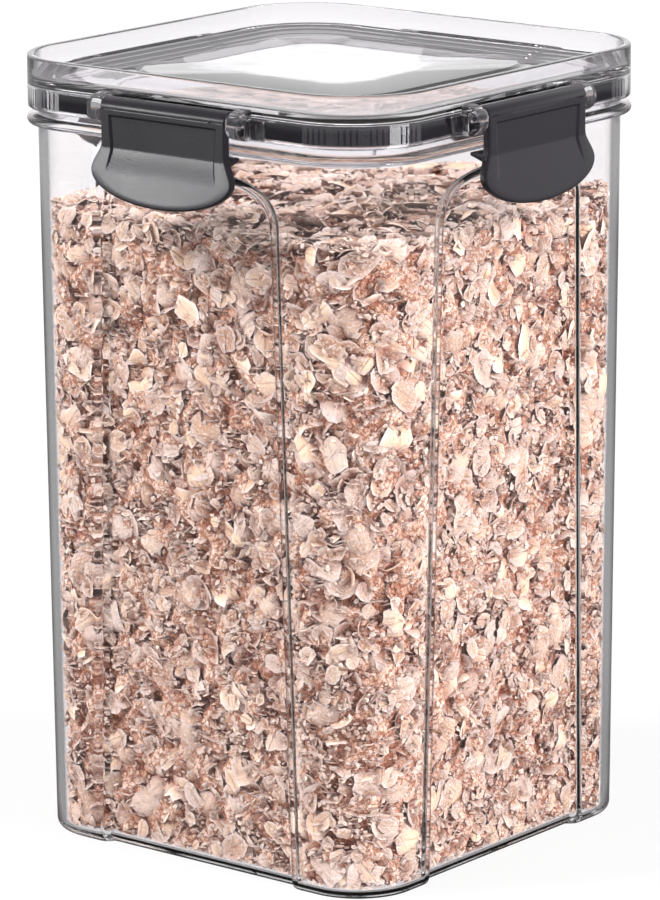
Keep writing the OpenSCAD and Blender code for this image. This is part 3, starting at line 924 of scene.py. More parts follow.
@dataclass
class Lid:
    """Clear lid: rim and skirt, floor with a raised middle, plug, ears and hinge pads."""

    half: float = 55.0
    skirt_t: float = 1.8
    top: float = 184.5
    floor_top: float = 179.7
    floor_low: float = 177.7
    skirt_low: float = 172.45
    plug_half: float = 50.5
    plug_t: float = 1.6
    plug_low: float = 168.7
    step_half: float = 35.0
    step_corner: float = 15.5
    step_h: float = 0.6
    edge: float = 0.55
    root_r: float = 0.6
    tip_r: float = 0.4
    small_r: float = 0.25
    floor_r: float = 0.5
    step_r: float = 0.3
    # Painted shade line along the top of the raised rim.
    rim_line: float = 0.12
    corner: int = 24
    hinge_out: float = 2.45
    hinge_z: float = 176.8
    bore: float = 1.16
    bore_deep: float = 2.9
    ear_in: float = 18.4
    ear_w: float = 3.4
    ear_out: float = 5.0
    pad_run: float = 4.2
    pad_t: float = 0.35

    def section(self) -> tuple[Array, Array]:
        """Section of the lid from the middle of its underside round to the middle of its top.

        Returns:
            Rows of (half width, height), and each row's corner radius.
        """
        inside = self.half - self.skirt_t
        plug_in = self.plug_half - self.plug_t
        e, s, root, tip, r = self.edge, self.small_r, self.root_r, self.tip_r, self.floor_r
        step, middle = self.floor_top + self.step_h, 18.0
        rows = np.concatenate([
            [[0.0, self.floor_low], [middle, self.floor_low], [self.step_half, self.floor_low]],
            arc_points((plug_in - root, self.floor_low - root), root, 90, 0, 4),
            arc_points((plug_in + tip, self.plug_low + tip), tip, 180, 270, 4),
            arc_points((self.plug_half - tip, self.plug_low + tip), tip, 270, 360, 4),
            arc_points((self.plug_half + s, self.floor_low - s), s, 180, 90, 3),
            arc_points((inside - s, self.floor_low - s), s, 90, 0, 3),
            arc_points((inside + s, self.skirt_low + s), s, 180, 270, 3),
            arc_points((self.half - s, self.skirt_low + s), s, 270, 360, 3),
            [[self.half, self.floor_low], [self.half, self.floor_top]],
            arc_points((self.half - e, self.top - e), e, 0, 90, 6),
            arc_points((inside + e, self.top - e), e, 90, 180, 6),
            arc_points((inside - r, self.floor_top + r), r, 360, 270, 5),
            [[self.step_half + 1.6, self.floor_top]],
            arc_points((self.step_half + 0.9, self.floor_top + self.step_r), self.step_r, 270, 225, 2),
            arc_points((self.step_half, step - self.step_r), self.step_r, 45, 90, 2),
            [[middle, step], [0.0, step]]])
        inner = np.clip((rows[:, 0] - self.step_half) / (plug_in - self.step_half), 0, 1)
        outer_r = self.step_corner + (rows[:, 0] - CORE - self.step_corner) * inner
        inner_r = rows[:, 0] * self.step_corner / self.step_half
        return rows, np.where(rows[:, 0] < self.step_half, inner_r, outer_r)

    def shell(self) -> Patchwork:
        """Carries the lid's section round the canister.

        Returns:
            The grid, marked.
        """
        work = Patchwork()
        rows, radius = self.section()
        fractions = np.linspace(-1, 1, 9)
        gap = np.hypot(*np.diff(rows, axis=0).T)
        far, rounding = 9.0, 0.45
        near = np.minimum(np.append(gap, far), np.insert(gap, 0, far))
        # The small roundings get the full painted edge shade, and the raised rim a painted shade line.
        turn = np.where(near < rounding, 1.0, 0.2)
        raised = (rows[:, 1] > self.floor_top + 0.6) & (rows[:, 0] > self.step_half + 2.0)
        rim = np.where(raised, self.rim_line, 0.0)
        work.pane(around(rows[:, 0], rows[:, 1], fractions, self.corner, radius), turn[:, None],
                  line=rim[:, None], wrap=True)
        return work

    def ear(self, work: Patchwork, inner: float, outer: float, turns: int) -> None:
        """Adds one ear: a rounded half superellipse with a blind bore in its inner face.

        Rings run from the middle of the outer face over its rounded edge to the inner face, then
        down the bore to its end. Each outline point is (5 cos t ** 0.9, 3.5 sin t ** 0.9) about the
        ear's middle, with a blunt root within the skirt.

        Args:
            work: Mesh that the grid is added to.
            inner: x of the face beside the clip.
            outer: x of the other face.
            turns: Quarter turns of the side.
        """
        t = circle(64)
        c, s = np.cos(t), np.sin(t)
        high, low = self.floor_top - 0.2, self.skirt_low
        middle, tall = (high + low) / 2, (high - low) / 2
        out = np.where(c > 0, self.ear_out * np.abs(c) ** 0.9, -0.9 * np.abs(c) ** 0.3)
        up = tall * np.sign(s) * np.abs(s) ** 0.9
        shape = np.stack([out, up + middle], 1)
        away = np.roll(shape, -1, 0) - np.roll(shape, 1, 0)
        normal = np.stack([away[:, 1], -away[:, 0]], 1)
        normal /= np.linalg.norm(normal, axis=1, keepdims=True)
        bore = np.stack([self.hinge_out + self.bore * c, self.hinge_z + self.bore * s], 1)
        seat = np.array([self.hinge_out, self.hinge_z])
        hand = 1.0 if outer > inner else -1.0
        r = 0.45
        turn = np.radians(np.linspace(90, 0, 5))
        rings, xs = [np.broadcast_to(seat, shape.shape)], [outer]
        rings += [seat + (shape - normal * r - seat) * 0.6]
        xs += [outer]
        for a in turn:
            rings.append(shape - normal * r * (1 - math.cos(a)))
            xs.append(outer - hand * r * (1 - math.sin(a)))
        for a in turn[::-1]:
            rings.append(shape - normal * r * (1 - math.cos(a)))
            xs.append(inner + hand * r * (1 - math.sin(a)))
        deep = inner + hand * self.bore_deep
        rings += [bore + (bore - seat) * 0.12, bore, bore, np.broadcast_to(seat, shape.shape)]
        xs += [inner, inner + hand * 0.1, deep, deep]
        flat = np.stack(rings)
        x = np.broadcast_to(np.array(xs)[:, None], flat.shape[:2])
        grid = np.stack([x, -self.half - flat[..., 0], flat[..., 1]], -1)
        work.pane(quarter_turns(grid, turns), 0.8, wrap=True, flip=hand < 0)

    def pad(self, work: Patchwork, hand: float, turns: int) -> None:
        """Adds the thin pad that an ear stands on, running out past it to a rounded end.

        Rings run from the middle of its face over its edge to the middle of its back. The outline
        is |x / a| ** 8 + |z / b| ** 8 = 1.

        Args:
            work: Mesh that the grid is added to.
            hand: 1 for the right ear, -1 for the left one.
            turns: Quarter turns of the side.
        """
        low, high = self.skirt_low + 0.3, self.floor_low - 0.3
        near, far = self.ear_in, self.ear_in + self.ear_w + self.pad_run
        t = circle(48)
        c, s = np.cos(t), np.sin(t)
        shape = np.stack([(far - near) / 2 * np.sign(c) * np.abs(c) ** 0.25,
                          (high - low) / 2 * np.sign(s) * np.abs(s) ** 0.25], 1)
        face, back = self.half + self.pad_t, self.half - 0.4
        shares = [0.0, 0.6, 0.955, 0.985, 1.0, 1.0, 0.6, 0.0]
        outs = [face, face, face, face - 0.06, face - 0.18, back, back, back]
        flat = np.stack([shape * k for k in shares])
        y = -np.broadcast_to(np.array(outs)[:, None], flat.shape[:2])
        grid = np.stack([hand * ((near + far) / 2 + flat[..., 0]), y, (low + high) / 2 + flat[..., 1]], -1)
        work.pane(quarter_turns(grid, turns), 0.3, wrap=True, flip=hand > 0)

    def build(self, finish: bpy.types.Material) -> list[bpy.types.Object]:
        """Builds the shell, and the ears with their pads, and dresses them.

        Args:
            finish: Their material.

        Returns:
            The shell and the ears.
        """
        shell = dress(self.shell().build("lid_clear"), finish, "lid")
        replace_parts(shell, "lid_shell")
        work = Patchwork()
        for side in Side:
            for hand in (1.0, -1.0):
                self.ear(work, hand * self.ear_in, hand * (self.ear_in + self.ear_w), side.value)
                self.pad(work, hand, side.value)
        ears = dress(work.build("lid_ears"), finish, "lid")
        return [shell, ears]


# ---- clips -----------------------------------------------------------------------------


@dataclass
class Clip:
    """Hinged clip: barrel with its pins, plate with a sunk field, leaning tab and hook."""

    lid_half: float = 55.0
    hinge_out: float = 2.45
    hinge_z: float = 176.8
    barrel_r: float = 2.25
    pin_r: float = 1.1
    pin_l: float = 2.6
    half: float = 18.1
    tab_half: float = 20.5
    plate: float = 1.9
    face: float = 4.7
    bend_z: float = 167.675
    tab_z: float = 155.475
    tab_round: float = 7.32
    lean: float = 10.0
    waist_z: float = 168.875
    field_half: float = 15.4
    field_top: float = 175.0
    field_depth: float = 0.4
    crease_low: float = 161.3
    hook_top: float = 168.25
    hook_tip: float = -1.1
    edge: float = 0.55

    def front(self, x: Array, z: Array) -> Array:
        """Distance of the front from the lid's side: level plate, leaning tab, less the sunk field.

        Below the bend the field's floor rises until it meets the tab at the creases' ends.

        Args:
            x: Places across the clip.
            z: Heights.

        Returns:
            Distances out.
        """
        border = self.field_half - 0.5 * smooth(z, self.field_top, self.bend_z)
        border = border + 1.2 * smooth(z, self.bend_z, self.crease_low)
        across = smooth(border - np.abs(x), -0.28, 0.28)
        below = smooth(self.field_top - z, -0.22, 0.22)
        fade = 1 - smooth(z, self.bend_z, self.crease_low)
        return self.face + self.leaning(z) - self.field_depth * across * below * fade

    def leaning(self, z: Array) -> Array:
        """How far the tab's lean carries it out at a height."""
        return np.tan(np.radians(self.lean)) * np.maximum(self.bend_z - z, 0)

    def back(self, z: Array) -> Array:
        """Distance of the back from the lid's side."""
        share = np.clip((self.bend_z - z) / (self.bend_z - self.tab_z), 0, 1)
        return self.face - self.plate + self.leaning(z) + 0.3 * share

    def outline_half(self, z: Array) -> Array:
        """Half width at a height: straight to the waist, then a smooth flare to the tab."""
        middle = self.tab_z + self.tab_round
        return self.half + (self.tab_half - self.half) * smooth(-z, -self.waist_z, -middle)

    def slab(self, work: Patchwork, turns: int) -> None:
        """Adds the plate and tab as one closed pillow.

        Lines run from the middle out to the outline: level ones down to the tab's widest place,
        then a fan that follows half an ellipse. Each line goes out over the front, round the
        rounded edge and back behind.

        Args:
            work: Mesh that the grid is added to.
            turns: Quarter turns of the side.
        """
        middle = self.tab_z + self.tab_round
        level = np.concatenate([
            [self.hinge_z, self.hinge_z - 0.6], np.linspace(self.field_top + 0.3, self.field_top - 0.3, 7),
            [173.0, 170.6, self.waist_z], [self.bend_z + 0.35, self.bend_z + 0.12, self.bend_z - 0.12,
                                          self.bend_z - 0.4], np.linspace(166.6, middle, 6)])
        fan = np.radians(np.linspace(0, 90, 25)[1:])
        width = np.concatenate([self.outline_half(level), self.tab_half * np.cos(fan)])
        height = np.concatenate([level, middle - self.tab_round * np.sin(fan)])
        nx = np.concatenate([np.ones(len(level)), np.cos(fan) / self.tab_half])
        nz = np.concatenate([np.zeros(len(level)), -np.sin(fan) / self.tab_round])
        size = np.hypot(nx, nz)
        nx, nz = nx / size, nz / size
        origin = np.concatenate([level, np.full(len(fan), middle)])
        r = self.edge
        x = np.concatenate([[0, 5, 10, 13.3], np.linspace(14.3, 17.0, 19)])
        reach = (width - r * nx)[:, None], (height - r * nz)[:, None]
        share = x[None, :] / (self.tab_half - r)
        is_level = (np.arange(len(width)) < len(level))[:, None]
        px = np.where(is_level, x[None, :], share * reach[0])
        pz = np.where(is_level, height[:, None], origin[:, None] + share * (reach[1] - origin[:, None]))
        front = self.front(px, pz)
        turn = np.radians(np.linspace(0, 90, 6))
        rim_x = reach[0] + r * nx[:, None] * np.sin(turn)[None, :]
        rim_z = reach[1] + r * nz[:, None] * np.sin(turn)[None, :]
        rim_d = self.front(reach[0], reach[1]) - r * (1 - np.cos(turn))[None, :]
        small = 0.35
        behind = self.back(height)[:, None]
        low_x = width[:, None] - small * nx[:, None] * (1 - np.cos(turn[::-1]))[None, :]
        low_z = height[:, None] - small * nz[:, None] * (1 - np.cos(turn[::-1]))[None, :]
        low_x, low_z = low_x[:, ::-1], low_z[:, ::-1]
        low_d = behind + small * (1 - np.sin(turn))[None, :]
        end_x, end_z = low_x[:, -1:], low_z[:, -1:]
        fade = np.array([0.66, 0.33, 0.0])[None, :]
        rest_x = end_x * fade
        rest_z = origin[:, None] + (end_z - origin[:, None]) * fade
        rest_z = np.where(is_level, height[:, None], rest_z)
        rest_d = self.back(rest_z)
        allx = np.concatenate([px, rim_x, low_x, rest_x], 1)
        allz = np.concatenate([pz, rim_z, low_z, rest_z], 1)
        alld = np.concatenate([front, rim_d, low_d, rest_d], 1)
        right = np.stack([allx, -self.lid_half - alld, allz], -1)
        left = right * np.array([-1, 1, 1])
        work.add(quarter_turns(right, turns), flip=True)
        work.add(quarter_turns(left, turns))
        cap = np.stack([right[0], left[0]])
        work.add(quarter_turns(cap, turns), flip=False)

    def rod(self, work: Patchwork, radius: float, reach: float, edge: float, turns: int) -> None:
        """Adds a rod along the hinge line with rounded ends: rings of a circle about the line.

        Args:
            work: Mesh that the grid is added to.
            radius: Radius of the rod.
            reach: Half its length.
            edge: Radius of its ends' edges.
            turns: Quarter turns of the side.
        """
        bend = np.radians(np.linspace(0, 90, 5))
        side = np.concatenate([[0.0], radius - edge + edge * np.sin(bend)])
        x = np.concatenate([[-reach], -reach + edge * (1 - np.cos(bend))])
        size, x = np.concatenate([side, side[::-1]]), np.concatenate([x, -x[::-1]])
        t = circle(64)[None, :]
        grid = np.stack([np.broadcast_to(x[:, None], (len(x), t.size)),
                         -self.lid_half - self.hinge_out - size[:, None] * np.cos(t),
                         self.hinge_z + size[:, None] * np.sin(t)], -1)
        work.add(quarter_turns(grid, turns), wrap=True, flip=True)

    def hook(self, work: Patchwork, turns: int) -> None:
        """Adds the hook: a bar whose section tapers to a blunt tip, with rounded ends.

        Args:
            work: Mesh that the grid is added to.
            turns: Quarter turns of the side.
        """
        top, root = self.hook_top, self.face - self.plate + 0.5
        section = np.array([
            [root, top], [0.5, top], [self.hook_tip + 0.35, top], [self.hook_tip + 0.1, top - 0.1],
            [self.hook_tip, top - 0.35], [self.hook_tip, top - 0.65], [self.hook_tip + 0.15, top - 0.85],
            [1.0, top - 1.45], [root, top - 2.3]])
        section = np.concatenate([section, section[:1]])
        middle = section[:-1].mean(0)
        ends, sizes = np.array([-17.7, -17.7, -17.62, -17.4]), np.array([0.0, 0.82, 0.95, 1.0])
        x, size = np.concatenate([ends, -ends[::-1]]), np.concatenate([sizes, sizes[::-1]])
        flat = middle + (section[None, :-1] - middle) * size[:, None, None]
        across = np.broadcast_to(x[:, None], flat.shape[:2])
        grid = np.stack([across, -self.lid_half - flat[..., 0], flat[..., 1]], -1)
        work.add(quarter_turns(grid, turns), wrap=True, flip=True)

    def build(self, side: Side, finish: bpy.types.Material) -> bpy.types.Object:
        """Builds the clip of one side and dresses it.

        Args:
            side: Which side it is on.
            finish: Its material.

        Returns:
            The clip.
        """
        name, turns = side.name.lower(), side.value
        work = Patchwork()
        self.slab(work, turns)
        self.rod(work, self.barrel_r, self.half, 0.3, turns)
        self.rod(work, self.pin_r, self.half + self.pin_l, 0.15, turns)
        self.hook(work, turns)
        clip = dress(work.build(f"{name}_clip_moulding"), finish, f"{name}_clip")
        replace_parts(clip, f"clip_{name}")
        return clip


# ---- contents --------------------------------------------------------------------------


@dataclass(frozen=True)
class Batch:
    """Flakes of one kind.

    Attributes:
        count: How many.
        size: Smallest and largest half length, mm.
        place: "flat" for those that lie along the walls, "wall" for those behind them, "crumb"
            for those gathered in nests there, and "top" for those over the surface.
        ring: Points round each one.
        middle: Whether a ring between its middle and its edge gives it a flat face.
    """

    count: int
    size: tuple[float, float]
    place: str
    ring: int
    middle: bool = True


@dataclass
class Flakes:
    """Rolled oats heaped in the jar: thin cupped flakes, broken ones and crumbs on a lumpy bed.

    Attributes:
        jar: What they lie in.
        level: Height of the heap at the walls, mm.
        mound: How much higher it is on the axis.
        lump: Height of its two crossed waves.
        wave: Their length.
        floor: Height that the flakes reach down to.
        stray: How far a flake may stand out over the heap.
    """

    jar: Jar
    level: float = 149.5
    mound: float = 3.0
    lump: float = 1.2
    wave: float = 41.0
    floor: float = 1.65
    stray: float = 0.8

    def template(self, n: int, middle: bool) -> tuple[Array, Array, Array]:
        """One flake: a centre, a ring or two, and the same behind, sharing the outer ring.

        Args:
            n: Number of points round a ring.
            middle: Whether there is a ring at 0.66 of the radius.

        Returns:
            (share of the radius, angle, side) of each vertex, side 1 above, 0 at the edge and -1
            below, then the triangles and the quads.
        """
        angle = np.arange(n) * 2 * np.pi / n
        inner = [(np.full(n, 0.66), angle, 1.0)] if middle else []
        rows = [(np.zeros(1), np.zeros(1), 1.0), *inner, (np.ones(n), angle, 0.0),
                *[(r, a, -s) for r, a, s in inner], (np.zeros(1), np.zeros(1), -1.0)]
        spots = np.concatenate([np.column_stack([r, a, np.full(len(r), s)]) for r, a, s in rows])
        i, j, last = np.arange(n), (np.arange(n) + 1) % n, len(spots) - 1
        starts = 1 + n * np.arange(len(rows) - 2)
        triangles = np.concatenate([np.stack([0 * i, starts[0] + i, starts[0] + j], 1),
                                    np.stack([last + 0 * i, starts[-1] + j, starts[-1] + i], 1)])
        quads = [np.stack([a + i, b + i, b + j, a + j], 1) for a, b in zip(starts[:-1], starts[1:])]
        return spots, triangles, np.concatenate(quads) if quads else np.zeros((0, 4), int)

    def walls(self, points: Array, off: Array | float) -> tuple[Array, ...]:
        """The wall's inside half width at each point, and where its sunk panels hold x and y.

        Args:
            points: Array of (..., 3).
            off: Distance to keep from the wall.

        Returns:
            Half width at the corners, then the largest |x| and the largest |y|.
        """
        jar = self.jar
        x, y, z = points[..., 0], points[..., 1], points[..., 2]
        lift = jar.floor_t + jar.floor_edge
        drop = np.clip(1 - ((lift - z) / jar.floor_edge) ** 2, 0, 1)
        fillet = jar.floor_edge * (1 - np.sqrt(drop)) * (z < lift)
        half = jar.half_at(z) - jar.wall - off - fillet
        held = []
        for along in (y, x):
            wide = jar.panel_half(z) + jar.wall
            over = np.clip((z - jar.shoulder_z) / (jar.arch_h + jar.wall), 0, 1)
            wide = wide * np.clip(1 - over ** jar.power, 0, 1) ** (1 / jar.power)
            held.append(np.where(np.abs(along) <= CORE, half - jar.sink(wide - np.abs(along) + off), half))
        return half, held[0], held[1]

    def press(self, points: Array, off: Array) -> Array:
        """Moves points that lie outside the jar's hollow to just inside its walls and floor.

        A point beside a side is held to the wall's half width less the sunk panel's depth; one at
        a corner is held to the corner's radius.

        Args:
            points: Array of (..., 3).
            off: Distance to keep from the wall, for each point.

        Returns:
            The moved points.
        """
        z = np.maximum(points[..., 2], self.floor + 0.5 * off)
        points = np.stack([points[..., 0], points[..., 1], z], -1)
        half, hold_x, hold_y = self.walls(points, off)
        ax, ay = np.abs(points[..., 0]), np.abs(points[..., 1])
        corner = (ax > CORE) & (ay > CORE)
        far = np.maximum(np.hypot(ax - CORE, ay - CORE), 1e-9)
        shrink = np.minimum(1, np.maximum(half - CORE, 0.1) / far)
        nx = np.where(corner, CORE + (ax - CORE) * shrink, np.minimum(ax, hold_x))
        ny = np.where(corner, CORE + (ay - CORE) * shrink, np.minimum(ay, hold_y))
        return np.stack([np.sign(points[..., 0]) * nx, np.sign(points[..., 1]) * ny, points[..., 2]], -1)

    def buried(self, points: Array) -> Array:
        """How deep points lie behind the wall or under the heap, the lesser of the two; it is the mask of the
        painted shade.

        Args:
            points: Array of (..., 3).

        Returns:
            A smooth step of the depth, 0 up to 0.3 mm and 1 from 3 mm.
        """
        off = 1.6
        half, hold_x, hold_y = (v + off for v in self.walls(points, off))
        ax, ay = np.abs(points[..., 0]), np.abs(points[..., 1])
        rounded = half - CORE - np.hypot(ax - CORE, ay - CORE)
        gap = np.where((ax > CORE) & (ay > CORE), rounded, np.minimum(hold_x - ax, hold_y - ay))
        under = self.dome(points[..., 0], points[..., 1]) + self.stray - points[..., 2]
        return smooth(np.minimum(gap, under), 0.3, 3.0)

    def settle(self, placed: Array, off: Array) -> Array:
        """Moves each flake in whole by its worst overshoot, and then presses what is left.

        Args:
            placed: Flakes as (count, vertices, 3).
            off: Distance to keep from the wall, for each flake.

        Returns:
            The settled flakes.
        """
        off = np.broadcast_to(off, placed.shape[:2])
        move = self.press(placed, off) - placed
        worst = np.linalg.norm(move, axis=2).argmax(1)
        placed = placed + move[np.arange(len(placed)), worst][:, None, :]
        over = placed[..., 2] - self.dome(placed[..., 0], placed[..., 1]) - self.stray
        placed = placed - np.array([0, 0, 1.0]) * np.maximum(over.max(1), 0)[:, None, None] * 0.8
        placed = self.press(placed, off)
        placed[..., 2] = np.minimum(placed[..., 2], self.dome(placed[..., 0], placed[..., 1]) + self.stray)
        return placed

    def dome(self, x: Array, y: Array) -> Array:
        """Height of the heap's surface: the level at the walls, a low mound and two crossed waves.

        Args:
            x: Places across.
            y: Places from front to back.

        Returns:
            Heights.
        """
        out = np.maximum(np.abs(x), np.abs(y)) / (self.jar.base_half - self.jar.wall)
        rise = np.clip(1 - out ** 2, 0, 1)
        k = 2 * np.pi / self.wave
        lumps = np.sin(k * x + math.radians(50)) * np.cos(k * y - math.radians(20))
        return self.level + self.mound * rise + self.lump * lumps

    def heap(self, rng: np.random.Generator, batch: Batch,
             spots: Array) -> tuple[Array, Array, Array]:
        """Shapes, turns and places the flakes of a batch.

        A flake's outline is an ellipse times a sum of cosines of 2 to 6 times the angle and a
        small draw for each point, with a notch in some. Its height is a cup (x squared + y
        squared), a roll (x squared - y squared), a fold along its length and a wave round its rim.

        Args:
            rng: Seeded source of draws.
            batch: The kind.
            spots: Vertices of the template.

        Returns:
            The vertices in mm, each vertex's place on its own flake, and how far across it is.
        """
        count, n = batch.count, batch.ring
        radius, angle, side = spots[:, 0], spots[:, 1], spots[:, 2]
        long = rng.uniform(*batch.size, count)[:, None]
        wide = long * rng.uniform(0.6, 0.95, (count, 1))
        thick = (0.13 + 0.03 * long if batch.middle else 0.45 * long) * rng.uniform(0.7, 1.3, (count, 1))
        ripple = 1 + sum(
            rng.uniform(-w, w, (count, 1)) * np.cos(k * angle[None] + rng.uniform(0, 6.3, (count, 1)))
            for k, w in ((2, 0.10), (3, 0.10), (4, 0.07), (5, 0.07), (6, 0.05)))
        ragged = rng.normal(0, 0.045 if batch.middle else 0.2, (count, n))
        ripple = ripple + ragged[:, np.round(angle * n / (2 * np.pi)).astype(int) % n] * (radius > 0)
        split = rng.uniform(0.1, 0.4, (count, 1)) * (rng.random((count, 1)) < 0.4) * batch.middle
        gap = np.angle(np.exp(1j * (angle[None] - rng.uniform(0, 6.3, (count, 1)))))
        ripple = np.maximum(ripple * (1 - split * np.exp(-((gap / 0.3) ** 2))), 0.3)
        x = long * radius * ripple * np.cos(angle)
        y = wide * radius * ripple * np.sin(angle)
        cup = rng.normal(0.07, 0.04, (count, 1))
        roll = rng.normal(0.0, 0.045, (count, 1))
        fold = rng.uniform(0, 0.5, (count, 1)) * batch.middle
        wave = rng.uniform(0, 0.35, (count, 1)) * radius * np.cos(3 * angle + rng.uniform(0, 6.3, (count, 1)))
        z = cup * (x ** 2 + y ** 2) + roll * (x ** 2 - y ** 2) + fold * np.abs(y) / wide + wave
        z = z + side * thick
        local = np.stack([x, y, z], -1)
        if batch.place == "top":
            centre, normal = self.top_spots(rng, count)
        else:
            centre, normal = self.wall_spots(rng, count, batch.place)
        spin = rng.uniform(0, 2 * np.pi, count)
        helper = np.where(np.abs(normal[:, 2:]) < 0.9, [[0.0, 0, 1]], [[1.0, 0, 0]])
        first = np.cross(helper, normal)
        first /= np.linalg.norm(first, axis=1, keepdims=True)
        second = np.cross(normal, first)
        u = first * np.cos(spin)[:, None] + second * np.sin(spin)[:, None]
        v = np.cross(normal, u)
        turned = np.einsum("nvk,nkj->nvj", local, np.stack([u, v, normal], 1))
        placed = centre[:, None, :] + turned
        return self.settle(placed, rng.uniform(0.25, 0.8, (count, 1))), local[..., :2], y / wide

    def lean(self, rng: np.random.Generator, base: Array, spread: Array) -> Array:
        """Leans directions towards random sides, and turns about half of them over.

        Args:
            rng: Seeded source of draws.
            base: Unit directions, (count, 3).
            spread: How far each one leans, in radians.

        Returns:
            Unit directions, (count, 3).
        """
        other = rng.normal(size=base.shape)
        other -= base * (other * base).sum(1, keepdims=True)
        other /= np.linalg.norm(other, axis=1, keepdims=True)
        made = base * np.cos(spread)[:, None] + other * np.sin(spread)[:, None]
        return made * np.where(rng.random((len(base), 1)) < 0.5, 1.0, -1.0)

    def wall_spots(self, rng: np.random.Generator, count: int, place: str) -> tuple[Array, Array]:
        """Places and directions of the flakes behind the walls.

        Flat ones lie along the wall. Of the others, nearly half lie along it, a third lie level
        and are seen edge on, and the rest lie anyhow. Crumbs gather in nests, more of them low.

        Args:
            rng: Seeded source of draws.
            count: Number of flakes.
            place: "flat", "wall" or "crumb".

        Returns:
            Centres and unit normals, each (count, 3).
        """
        radius, nests = 13.5, 110
        run = np.array([2 * CORE, radius * np.pi / 2])
        low, tall = self.floor + 0.3, self.level - self.floor
        where = rng.uniform(0, 4 * run.sum(), count)
        z = low + tall * rng.random(count)
        if place == "crumb":
            nest = np.stack([rng.uniform(0, 4 * run.sum(), nests), low + tall * rng.random(nests) ** 1.35], 1)
            pick = nest[rng.integers(0, nests, count)] + rng.normal(0, 1, (count, 2)) * [9.0, 5.5]
            near = rng.random(count) < 0.62
            where = np.where(near, pick[:, 0] % (4 * run.sum()), where)
            z = np.where(near, np.clip(pick[:, 1], low, low + tall), z)
        turns, along = (where // run.sum()).astype(int) % 4, where % run.sum()
        flat = place == "flat"
        deep = rng.uniform(0.3, 1.0, count) if flat else rng.uniform(0.4, 3.0, count)
        if place == "crumb":
            deep = np.where(near, deep, deep * 0.5 + 1.4)
        half = self.jar.half_at(z) - self.jar.wall
        straight = along < run[0]
        phi = np.where(straight, 0, (along - run[0]) / radius)
        reach = np.where(straight, half, half - CORE) - deep
        x = np.where(straight, along - CORE, CORE + np.maximum(reach, 1) * np.sin(phi))
        y = np.where(straight, -reach, -CORE - np.maximum(reach, 1) * np.cos(phi))
        inward = np.stack([-np.where(straight, 0, np.sin(phi)), np.where(straight, 1, np.cos(phi)), 0 * z], 1)
        inside = straight & (np.abs(x) < self.jar.panel_half(z) + 1.5) & (z < self.jar.shoulder_z + 10)
        y = y + np.where(inside, self.jar.panel_depth, 0)
        up = np.broadcast_to([0.0, 0.0, 1.0], inward.shape)
        draw = rng.random(count)[:, None]
        base = np.where((draw < 0.48) | flat, inward, up)
        little, any_lean = np.abs(rng.normal(0, 0.42, count)), rng.uniform(0, np.pi / 2, count)
        spread = np.where(draw[:, 0] < 0.8, little, any_lean) * (0.6 if flat else 1.0)
        normal = self.lean(rng, base, spread)
        centre = np.stack([x, y, z], 1)
        cosine, sine = np.array([1, 0, -1, 0])[turns], np.array([0, 1, 0, -1])[turns]

        def turned(p: Array) -> Array:
            """Turns each point by its own number of quarter turns."""
            x, y = p[:, 0], p[:, 1]
            return np.stack([cosine * x - sine * y, sine * x + cosine * y, p[:, 2]], 1)

        return turned(centre), turned(normal)

    def top_spots(self, rng: np.random.Generator, count: int) -> tuple[Array, Array]:
        """Places and directions of the flakes over the heap's surface.

        Args:
            rng: Seeded source of draws.
            count: Number of flakes.

        Returns:
            Centres and unit normals, each (count, 3).
        """
        x, y = rng.uniform(-49, 49, (2, count))
        z = self.dome(x, y) - rng.uniform(-0.2, 2.6, count)
        up = np.broadcast_to([0.0, 0.0, 1.0], (count, 3))
        return np.stack([x, y, z], 1), self.lean(rng, up, np.abs(rng.normal(0, 0.5, count)))

    def piece(self, name: str, rng: np.random.Generator, batches: list[Batch],
              finish: bpy.types.Material) -> bpy.types.Object:
        """Makes one mesh of flakes.

        Args:
            name: Name of the piece.
            rng: Seeded source of draws.
            batches: The kinds in it.
            finish: Its material.

        Returns:
            The piece.
        """
        points, tris, fours, tri_uv, four_uv, marks, base = [], [], [], [], [], [], 0
        for batch in batches:
            count = batch.count
            spots, triangles, quads = self.template(batch.ring, batch.middle)
            placed, flat, seam = self.heap(rng, batch, spots)
            flat = flat + rng.uniform(0, 400, (count, 1, 2))
            shift = base + (np.arange(count) * len(spots))[:, None, None]
            points.append(placed.reshape(-1, 3))
            tris.append((triangles[None] + shift).reshape(-1, 3))
            fours.append((quads[None] + shift).reshape(-1, 4))
            tri_uv.append(flat[:, triangles].reshape(-1, 2))
            four_uv.append(flat[:, quads].reshape(-1, 2))
            drawn = [np.clip(rng.normal(0.55, 0.27, count), 0, 1), rng.random(count) ** 3 * 0.75]
            each = [np.repeat(v, len(spots)) for v in drawn]
            rim = np.tile(np.where(spots[:, 0] > 0.9, 1.0, 0.0), count)
            seam = seam.ravel() if batch.middle else np.ones(len(rim))
            # The deep mark sets how much painted shade each vertex gets.
            marks.append(np.stack([*each, rim, seam, self.buried(placed).ravel()]))
            base += count * len(spots)
        mark = np.concatenate(marks, 1)
        mesh = raw_mesh(name, np.concatenate(points), np.concatenate(tris), np.concatenate(fours))
        uv = mesh.uv_layers.new(name="flake")
        uv.data.foreach_set("uv", np.concatenate(tri_uv + four_uv).astype(np.float32).ravel())
        set_marks(mesh, dict(zip(FLAKE_MARKS, mark)))
        ends = np.zeros(len(mesh.edges) * 2, np.int32)
        mesh.edges.foreach_get("vertices", ends)
        mesh.shade_smooth()
        rim = mark[FLAKE_MARKS.index("rim")]
        sharp = (rim[ends.reshape(-1, 2)] > 0.5).all(1)
        mesh.attributes.new("sharp_edge", "BOOLEAN", "EDGE").data.foreach_set("value", sharp)
        return dress(in_scene(name, mesh), finish, "jar")

